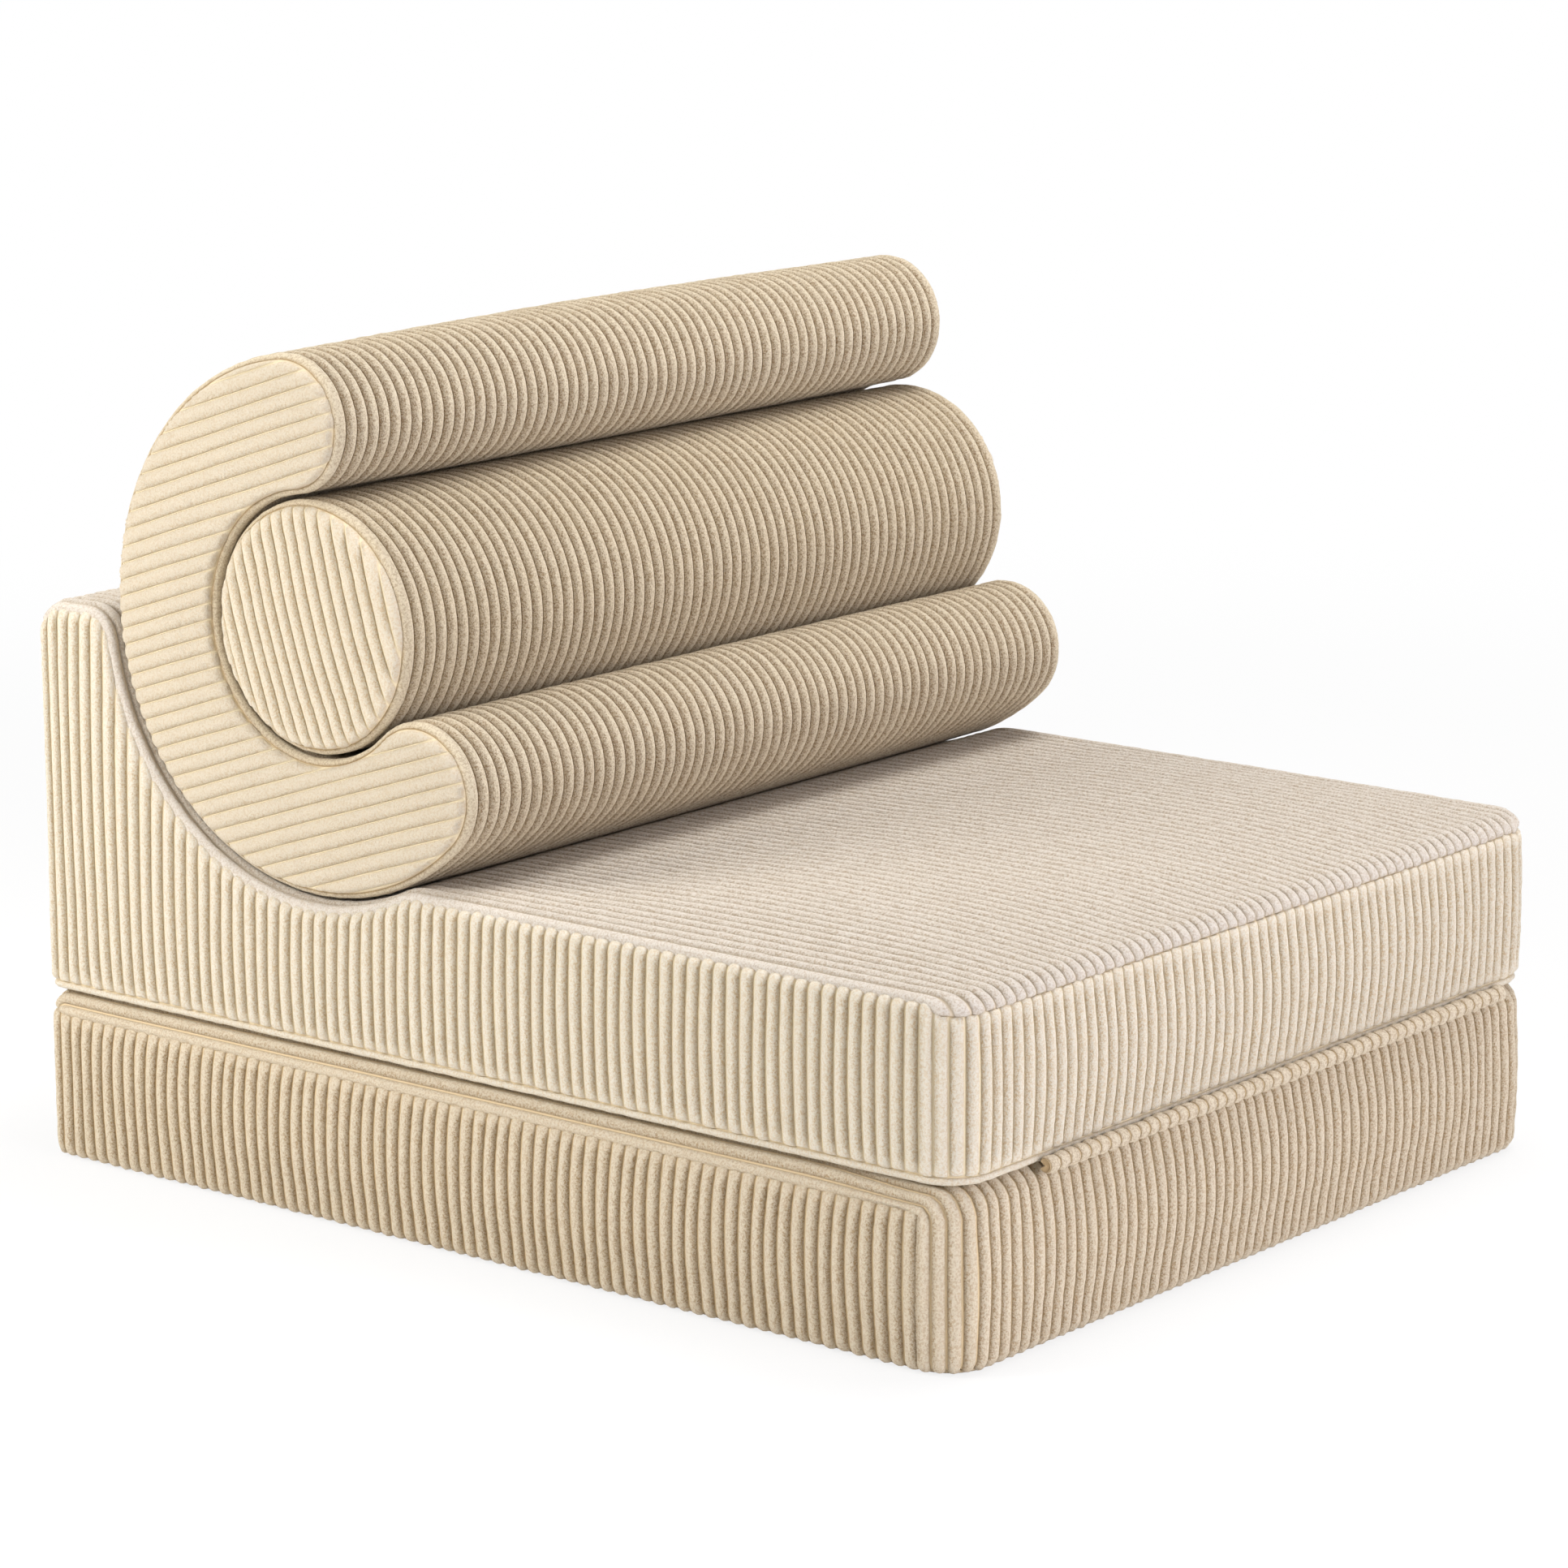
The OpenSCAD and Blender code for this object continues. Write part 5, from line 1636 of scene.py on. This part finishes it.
    def outline(self, over: float) -> Array:
        """Closed side outline of the side cloth."""
        low, high = self.front + self.front_corner, self.back - self.back_corner
        y = np.concatenate([np.linspace(low, 280.0, 160), np.linspace(280.5, high, 240)])
        upper = np.column_stack([y, self.head(y, over)])
        return np.concatenate([upper[::-1], [[low - 200, upper[0, 1]], [low - 200, self.foot],
                                             [high + 200, self.foot], [high + 200, upper[-1, 1]]]])

    def side_panel(self, seed: float) -> Panel:
        """The right side: upright wales from the foot to the cradle's outline, and over its rounded edge."""
        low, high = self.front + self.front_corner, self.back - self.back_corner
        middle, reach = (low + high) / 2, (high - low) / 2
        most, over, _ = self.rim()

        def surface(u: Array, v: Array) -> Array:
            """Points at length u front to back and share v of the height."""
            y = middle + u + 0.0 * v
            z = self.foot + (self.head(y, over) - self.foot) * v
            return np.stack([0.0 * y + self.half, y, z], axis=2)

        panel = laid(surface, Laying(2 * reach, self.side_wales, (1, 0, 0), sides=Edge.CARRIED_ON, seed=seed,
                                     drift=0.9, step=5.0, fine=200))
        grid = panel.points.reshape(-1, len(wale_columns(2 * reach, self.side_wales)[0]), 3)
        grid[-1] = grid[-2]
        flat, outline = panel.points[:, 1:].copy(), self.outline(over)
        gap = signed_gap(flat, outline)
        dy, dz = slopes(lambda p: signed_gap(p, outline), flat, gap)
        upper = flat[:, 1] > self.foot + 20.0
        lean = np.where(upper, np.clip(most - gap / self.edge, 0.0, most), 0.0)
        level = np.sqrt(1.0 - lean * lean)
        ends = smooth((reach - np.abs(flat[:, 0] - middle)) / 30.0)
        panel.points[:, 0] -= self.edge * (1.0 - level) + self.pile * level
        panel.points[:, 0] += self.side_swell * smooth(gap / 14.0) * ends
        panel.points[:, 1] += self.pile * lean * dy
        panel.points[:, 2] += self.pile * lean * dz
        grid[-1, :, 0] -= TUCK
        gap.reshape(grid.shape[:2])[-1] = -TUCK
        panel.end_gap = panel.seam_gap = gap
        panel.depth = np.where(upper, 0.9, 2.0)
        return panel

    def build(self, shop: Workshop) -> None:
        """Make the seat's covers, foam and zip."""
        shop.body_form("seat_cushion", self.sections(), "seat", "seat_foam", self.held)
        width = 2 * (self.half - self.edge + self.edge * math.radians(self.rim_turn))
        top = laid(self.top_surface, Laying(width, self.top_wales, (0, 0, 1), seed=4.0, drift=0.6, fine=1400,
                                            cut=0.32))
        shop.sew("seat_top", [top], Slot.SEAT, "seat", 1.0, lean=PILE_LEAN_SHADE_A_LITTLE)
        brow, high = (self.top, self.brow), (self.cradle, self.crest)
        fore = self.shoulder(self.front, 1.0, self.front_corner, brow)
        aft = self.shoulder(self.back, -1.0, self.back_corner, high)
        front = laid(self.upright(self.front_run, self.foot, self.front_seam, brow, fore),
                     Laying(self.run_length(self.front_corner), self.front_wales, (0, -1, 0),
                            sides=Edge.CARRIED_ON, seed=6.0, step=4.6, fine=200))
        shop.sew("seat_front", [front], Slot.SIDES, "seat", 2.0, lean=PILE_LEAN_SHADE_A_LITTLE)
        self.sew_sides(shop, Slot.SIDES, "seat", self.side_panel(7.0), self.side_panel(8.0), 3.0)
        zip_z = self.base + self.zip_up
        zip_made = Zip("seat_zip", "seat", self.zip_length, (0.0, 383.04, zip_z), (1, 0, 0), (0, 1, 0))
        back = self.back_cloths(zip_z, high, 9.0, 5.6, 300, aft)
        shop.sew("seat_back", [*back, zip_made.facing_panel()], Slot.SIDES, "seat", 5.0)
        shop.sew("seat_bottom", self.underside(self.base_edge, 0.6), Slot.SIDES, "seat", 6.0)
        zip_made.build(shop)

    def foam_outline(self, f: float, b: float, over: float, s: Array) -> Array:
        """Side outline of the foam, with the cradle's scoop."""
        under = self.base + FOAM_IN
        y = np.concatenate([np.linspace(f + 10, 300.0, 60), np.linspace(301.0, b - 8, 40)])
        z = self.head(np.minimum(y, self.back - self.back_corner - 24.0), min(over, 20.0))
        z = z - max(over - 20.0, 0.0)
        ring = [(f, under + 2), (f + 2, under), (b - 2, under), (b, under + 2), (b, float(z[-1]) - 8)]
        ring += [(float(p), float(q)) for p, q in zip(y[::-1], z[::-1])]
        return np.array([*ring, (f, float(z[0]) - 10)])


@dataclass
class Bolster:
    """What the backrest and the round bolster share."""

    half: float = 312.0
    edge: float = 4.0
    crown: float = 1.0
    axis_y: float = 136.0
    axis_z: float = 385.0
    swell: float = 2.0
    pile: float = 3.0
    seam_turn: float = 60.0
    wales: int = 62

    def across_run(self, a: Array) -> tuple[Array, Array]:
        """Follow the length and its rounded ends: x, and how far the round has drawn in there."""
        flat = self.half - self.pile - self.edge
        turn = np.clip((np.abs(a) - flat) / self.edge, 0.0, math.pi / 2)
        x = np.where(np.abs(a) <= flat, a, np.sign(a) * (flat + self.edge * np.sin(turn)))
        return x, self.pile + self.crown * (x / self.half) ** 2 + self.edge * (1.0 - np.cos(turn))

    def width(self) -> float:
        """Length of cloth across the wrap, from end seam to end seam."""
        return 2 * (self.half - self.pile - self.edge + self.edge * math.radians(90.0 - self.seam_turn))

    def end_inset(self) -> float:
        """How far inside the bolster's outline the seam of an end cloth lies."""
        return self.pile + self.crown + self.edge * (1.0 - math.sin(math.radians(self.seam_turn)))

    def held(self, p: Array, n: Array) -> Array:
        """How firmly each point is held: 1 at seams, at a zip and under a cushion, 0 where it is free."""
        across, up = p[:, 1] - self.axis_y, p[:, 2] - self.axis_z
        r, turn = np.hypot(across, up), np.degrees(np.arctan2(up, across))
        near_end = 1.0 - smooth((self.half - np.abs(p[:, 0])) / 60.0)
        wrapped = np.maximum(near_end, self.held_round(r, turn))
        return np.where(np.abs(n[:, 0]) > 0.6, self.held_end(p[:, 0], r), wrapped)

    def circle(self, r: float, count: int) -> Array:
        """Points (y, z) of a circle round the axis."""
        turn = np.linspace(0.0, 2 * math.pi, count + 1)[:-1]
        return np.column_stack([self.axis_y + r * np.cos(turn), self.axis_z + r * np.sin(turn)])

    def foam(self, ring: Callable[[float], Array]) -> list[Array]:
        """Outlines of the foam from left to right, drawn in a little more at both ends."""
        made = []
        reach = self.half - FOAM_IN
        for x in np.linspace(-reach, reach, 9):
            outline = ring(FOAM_IN + (3.0 if abs(x) > reach - 1.0 else 0.0))
            made.append(np.column_stack([np.full(len(outline), x), outline]))
        return made

    def end_raised(self, side: float) -> Callable[[Array, Array], Array]:
        """Places an end cloth: bent over the rounded edge, and swollen a little inside it."""
        def raised(p: Array, gap: Array) -> Array:
            """Space points from (y, z) and the distance from the seam."""
            lean = np.clip(math.sin(math.radians(self.seam_turn)) - gap / self.edge, 0.0, 1.0)
            drop = self.edge * (1.0 - np.sqrt(1.0 - lean * lean))
            x = self.half - self.pile - drop + self.swell * smooth(gap / 14.0)
            return np.column_stack([side * x, p])
        return raised


@dataclass
class Backrest(Bolster):
    """The C-shaped bolster that wraps round the other one."""

    radius: float = 174.0
    hold: float = 83.04
    upper: float = 82.0
    lower: float = -133.0
    zip_turn: float = 30.0
    zip_length: float = 440.0

    def profile(self, v: Array, inset: Array) -> tuple[Array, Array]:
        """Closed outline of the C, starting and ending at the zip.

        Args:
            v: Share of the way round, 0 to 1.
            inset: How far the outline is drawn in.

        Returns:
            y and z.
        """
        arm = (self.radius - self.hold) / 2
        mid = (self.radius + self.hold) / 2
        marks = (0.0, 0.12, 0.24, 0.50, 0.62, 1.0)
        q = [part(v, marks[i], marks[i + 1]) for i in range(5)]
        up, down, start = (math.radians(a) for a in (self.upper, self.lower, self.zip_turn))
        made = []
        for centre_turn, r, from_turn, to_turn, k in (
            (None, self.radius - inset, start, up, 0),
            (up, arm - inset, up, up + math.pi, 1),
            (None, self.hold + inset, up, down, 2),
            (down, arm - inset, down + math.pi, down + 2 * math.pi, 3),
            (None, self.radius - inset, down, start, 4),
        ):
            turn = from_turn + (to_turn - from_turn) * q[k]
            cy = self.axis_y + (0.0 if centre_turn is None else mid * math.cos(centre_turn))
            cz = self.axis_z + (0.0 if centre_turn is None else mid * math.sin(centre_turn))
            made.append((cy + r * np.cos(turn), cz + r * np.sin(turn)))
        return pieced(v, marks, made)

    def held_end(self, x: Array, r: Array) -> Array:
        """Held along the seams of the end cloths."""
        return 1.0 - smooth(np.minimum(r - self.hold, self.radius - r) / 22.0)

    def held_round(self, r: Array, turn: Array) -> Array:
        """Held in the hollow, in the cradle and at the zip."""
        hollow = 1.0 - smooth((r - self.hold - 10.0) / 10.0)
        cradle = smooth((-turn + 5.0) / 20.0) * smooth((turn + 128.0) / 20.0)
        at_zip = 1.0 - smooth((np.abs(turn - self.zip_turn) - 5.0) / 8.0)
        return np.maximum(np.maximum(hollow, cradle), at_zip)

    def ring(self, inset: float, count: int) -> Array:
        """The outline as points (y, z), drawn in by inset."""
        v = np.linspace(0.0, 1.0, count + 1)[:-1, None]
        return np.column_stack(self.profile(v, np.full((count, 1), inset)))

    def wrap(self, a: Array, v: Array) -> Array:
        """The wrap from its zip seam once round."""
        x, inset = self.across_run(a + 0.0 * v)
        y, z = self.profile(v, inset)
        return np.stack([x, y, z], axis=2)

    def build(self, shop: Workshop) -> None:
        """Make the backrest's covers, foam and zip."""
        shop.body_form("backrest_cushion", self.foam(lambda inset: self.ring(inset, 129)), "backrest",
                       "backrest_foam", self.held)
        turn = math.radians(self.zip_turn)
        out = (0.0, math.cos(turn), math.sin(turn))
        reach = self.radius - 0.3
        origin = (0.0, self.axis_y + reach * out[1], self.axis_z + reach * out[2])
        zip_made = Zip("backrest_zip", "backrest", self.zip_length, origin, (1, 0, 0), out)
        low = math.radians(self.lower)
        wrap = laid(self.wrap, Laying(self.width(), self.wales, (0, -math.cos(low), -math.sin(low)), seed=3.0,
                                      drift=0.7, step=6.3, fine=1500, trim_first=SLOT_TRIM,
                                      trim_last=SLOT_TRIM, trim_reach=self.zip_length / 2, seam_reach=286.0,
                                      end_depth=1.0))
        shop.sew("backrest_wrap", [wrap, zip_made.facing_panel()], Slot.BACKREST, "backrest", 21.0,
                 Cord(ground=0.07), lean=PILE_LEAN_SHADE)
        outline = self.ring(self.end_inset(), 399)
        for name, side, shift in (("left", -1.0, 2.0), ("right", 1.0, 5.0)):
            plan = FlatLaying(180.0 - 18.5, step=2.2, shift=shift, seed=shift)
            end = laid_flat(outline, plan, self.end_raised(side), (side, 0, 0))
            shop.sew(f"backrest_{name}", [end], Slot.BACKREST_ENDS, "backrest", 21.0 + shift,
                     Cord(height=2.3, ground=0.08), lean=0.4)
        zip_made.build(shop)


@dataclass
class Roll(Bolster):
    """The round bolster that the backrest holds."""

    radius: float = 82.0
    closing: float = -60.0
    zip_length: float = 112.0

    def held_end(self, x: Array, r: Array) -> Array:
        """Held along the seam of the left end, and all over the right end with its zip."""
        return np.where(x > 0, 1.0, 1.0 - smooth((self.radius - r) / 22.0))

    def held_round(self, r: Array, turn: Array) -> Array:
        """Held where the backrest goes round it."""
        return smooth((np.abs((turn - 155.0 + 180.0) % 360.0 - 180.0) - 35.0) / 22.0)

    def wrap(self, a: Array, v: Array) -> Array:
        """The wrap from its seam at the back once round."""
        x, inset = self.across_run(a + 0.0 * v)
        turn = 2 * math.pi * v + math.radians(self.closing)
        y = self.axis_y + (self.radius - inset) * np.cos(turn)
        z = self.axis_z + (self.radius - inset) * np.sin(turn)
        return np.stack([x, y, z], axis=2)

    def build(self, shop: Workshop) -> None:
        """Make the round bolster's covers, foam and zip."""
        shop.body_form("roll_cushion", self.foam(lambda inset: self.circle(self.radius - inset, 64)), "roll",
                       "roll_foam", self.held)
        across = math.radians(self.closing + 180.0)
        wrap = laid(self.wrap, Laying(self.width(), self.wales, (0, math.cos(across), math.sin(across)),
                                      seed=5.5, drift=0.8, step=5.4, fine=600, end_depth=0.8))
        shop.sew("roll_wrap", [wrap], Slot.ROLL, "roll", 31.0, Cord(ground=0.07), lean=PILE_LEAN_SHADE)
        outline = self.circle(self.radius - self.end_inset(), 180)
        zip_made = Zip("roll_zip", "roll", self.zip_length, (314.0, self.axis_y, self.axis_z), (0, 1, 0),
                       (1, 0, 0))
        left = laid_flat(outline, FlatLaying(90.0 - 17.0, step=2.2, shift=3.0, seed=1.0),
                         self.end_raised(-1.0), (-1, 0, 0))
        shop.sew("roll_left", [left], Slot.ROLL_ENDS, "roll", 32.0, Cord(height=2.5, ground=0.08), lean=0.8)
        slot = (self.axis_y, self.axis_z, self.zip_length / 2, SLOT_TRIM)
        right = laid_flat(outline, FlatLaying(90.0 + 12.0, step=2.2, shift=1.0, seed=2.0, slot=slot),
                          self.end_raised(1.0), (1, 0, 0))
        shop.sew("roll_right", [right, zip_made.facing_panel()], Slot.ROLL_ENDS, "roll", 33.0)
        zip_made.build(shop)


@dataclass
class FoldStrip:
    """Narrow cloth folded over lengthways, which joins the seat to the mat and rolls as the mat swings."""

    left: float = -238.0
    right: float = 267.0
    axis_y: float = -385.3
    axis_z: float = 115.0
    radius: float = 5.74
    wall: float = 1.6
    rise: float = 1.7
    mouth: float = 36.0
    wales: int = 50

    def build(self, shop: Workshop) -> None:
        """Make the strip: ribbed outside, plain inside, open towards the two cushions."""
        across, phase, wale = wale_columns(self.right - self.left, self.wales)
        middle = (self.left + self.right) / 2
        outer = np.radians(np.linspace(self.mouth, 360.0 - self.mouth, 22))
        inner = outer[::-1]
        r_out, r_in = self.radius - self.rise, self.radius - self.wall - 0.6
        ring = [(r_out * math.cos(a), r_out * math.sin(a), 1.0) for a in outer]
        ring += [(r_in * math.cos(a), r_in * math.sin(a), 0.0) for a in inner]
        shut = smooth(((self.right - self.left) / 2 - np.abs(across)) / 5.0)
        rows = [[(middle + a, self.axis_y + y * (k + o - k * o), self.axis_z + z * (k + o - k * o))
                 for a, k in zip(across, shut)] for y, z, o in ring]
        ribbed = np.array([r for _, _, r in ring])[:, None]
        points = np.array(rows).reshape(-1, 3)
        phases = (ribbed * phase[None]).ravel()
        from_end = (self.right - self.left) / 2 - np.abs(across)
        count, columns = len(ring), len(across)
        faces = grid_faces(count, columns, looped=True)
        faces = facing(points, faces, 10 * (columns - 1) + 50, (0, -1, 0))
        quads = [list(f) for f in faces]
        for c in (0, columns - 1):
            for k in range(21):
                quads.append([k * columns + c, (k + 1) * columns + c, (count - 2 - k) * columns + c,
                              (count - 1 - k) * columns + c])
        gap = (FAR + 0.0 * ribbed * from_end[None]).ravel()
        wales = (wale[None] + 0.0 * ribbed).ravel()
        panel = Panel(points, phases, wales, gap, gap, 0.0 * gap, np.array(quads))
        cord = Cord(height=self.rise, lumps=0.6, lump_size=8.0)
        shop.sew("fold_strip", [panel], Slot.STRIP, "seat", 41.0, cord, node="fold_strip")


# Floor, light and camera


@dataclass(frozen=True)
class Studio:
    """Plain pale floor, soft light and the photograph's camera."""

    eye: Place = (-2.7359, -2.2191, 1.0441)
    yaw: float = -50.795
    pitch: float = -12.661
    roll: float = -0.274
    focal: float = 6759.1
    middle: tuple[float, float] = (959.1, 960.7)
    frame_px: int = 1932

    def camera(self) -> None:
        """Set the camera where the photograph was taken from."""
        yaw, pitch, roll = (math.radians(a) for a in (self.yaw, self.pitch, self.roll))
        ahead = Vector((-math.sin(yaw) * math.cos(pitch), math.cos(yaw) * math.cos(pitch), math.sin(pitch)))
        right = ahead.cross(Vector((0, 0, 1))).normalized()
        up = right.cross(ahead)
        lean, level = math.sin(roll), math.cos(roll)
        right, up = level * right + lean * up, -lean * right + level * up
        data = bpy.data.cameras.new("camera")
        data.sensor_width = 36.0
        data.lens = self.focal / self.frame_px * 36.0
        data.shift_x = (self.frame_px / 2 - self.middle[0]) / self.frame_px
        data.shift_y = (self.middle[1] - self.frame_px / 2) / self.frame_px
        data.clip_start, data.clip_end = 0.05, 40.0
        made = bpy.data.objects.new("camera", data)
        turn = Matrix([[right.x, up.x, -ahead.x], [right.y, up.y, -ahead.y], [right.z, up.z, -ahead.z]])
        made.matrix_world = Matrix.Translation(self.eye) @ turn.to_4x4()
        bpy.context.scene.collection.objects.link(made)
        bpy.context.scene.camera = made

    def lamp(self, name: str, place: Sequence[float], aim: Sequence[float], size: float, power: float,
             colour: Colour) -> None:
        """Add one soft lamp.

        Args:
            name: Its name.
            place: Where it stands.
            aim: What it points at.
            size: Its side, in metres.
            power: Its power, in watts.
            colour: Its colour, 0 to 1.
        """
        data = bpy.data.lights.new(name, "AREA")
        data.shape = "SQUARE"
        data.size = size
        data.energy = power
        data.color = colour
        made = bpy.data.objects.new(name, data)
        made.location = place
        made.rotation_euler = (Vector(aim) - Vector(place)).to_track_quat("-Z", "Y").to_euler()
        bpy.context.scene.collection.objects.link(made)

    def background(self) -> None:
        """White where the camera or a reflection looks, and a soft even light elsewhere."""
        world = bpy.data.worlds.new("studio")
        world.use_nodes = True
        t = Tree(world.node_tree)
        path = t.node("ShaderNodeLightPath")
        seen = t.math("MAXIMUM", path.outputs["Is Camera Ray"],
                      t.math("MAXIMUM", path.outputs["Is Glossy Ray"], path.outputs["Is Transmission Ray"]))
        strength = t.math("MULTIPLY_ADD", seen, 0.64, 0.36)
        white = t.node("ShaderNodeBackground", {"Color": (1.0, 1.0, 1.0, 1.0), "Strength": strength})
        t.node("ShaderNodeOutputWorld", {0: white.outputs[0]})
        bpy.context.scene.world = world

    def floor(self) -> None:
        """A wide pale floor that keeps the chair's shadow."""
        mesh = bpy.data.meshes.new("floor")
        r = 12.0
        z = -0.0008
        mesh.from_pydata([(-r, -r, z), (r, -r, z), (r, r, z), (-r, r, z)], [], [(0, 1, 2, 3)])
        made = bpy.data.objects.new("floor", mesh)
        bpy.context.scene.collection.objects.link(made)
        material, t = blank("floor")
        place = t.node("ShaderNodeTexCoord").outputs["Object"]
        grain = t.noise(place, 40.0, 3.0)
        rough = t.plus(0.8, t.times(grain, 0.1))
        matt = t.node("ShaderNodeBsdfPrincipled", {"Base Color": (0.86, 0.86, 0.86, 1.0), "Roughness": rough})
        glow = t.node("ShaderNodeEmission", {"Color": (1.0, 1.0, 1.0, 1.0), "Strength": 1.0})
        path = t.node("ShaderNodeLightPath")
        far = t.node("ShaderNodeVectorMath", {0: place}, operation="LENGTH").outputs["Value"]
        share = t.times(path.outputs["Is Camera Ray"], t.ramp(far, 0.7, 2.4, 0.8, 1.0))
        mixed = t.node("ShaderNodeMixShader", {0: share, 1: matt.outputs[0], 2: glow.outputs[0]})
        t.node("ShaderNodeOutputMaterial", {0: mixed.outputs[0]})
        mesh.materials.append(material)

    def build(self) -> None:
        """Set the whole studio up."""
        bpy.context.scene.view_settings.view_transform = "Standard"
        self.camera()
        self.background()
        self.floor()
        self.lamp("side", (-1.45, 0.85, 1.0), (0, 0, 0.2), 0.8, 25.0, (1.0, 0.985, 0.945))
        self.lamp("front", (-0.35, -3.2, 1.0), (0, 0, 0.2), 1.6, 60.0, (1.0, 0.985, 1.07))
        self.lamp("top", (0.45, -0.3, 2.4), (0, 0, 0.2), 1.2, 42.0, (1.0, 0.99, 0.97))


def main() -> None:
    """Build the chair from the floor up."""
    logging.basicConfig(level=logging.INFO, format="%(name)s: %(message)s")
    Studio().build()
    shop = Workshop()
    for cushion in (Mat(), Seat(), FoldStrip(), Backrest(), Roll()):
        cushion.build(shop)
        log.info("%s is done", type(cushion).__name__)


if __name__ == "__main__":
    main()
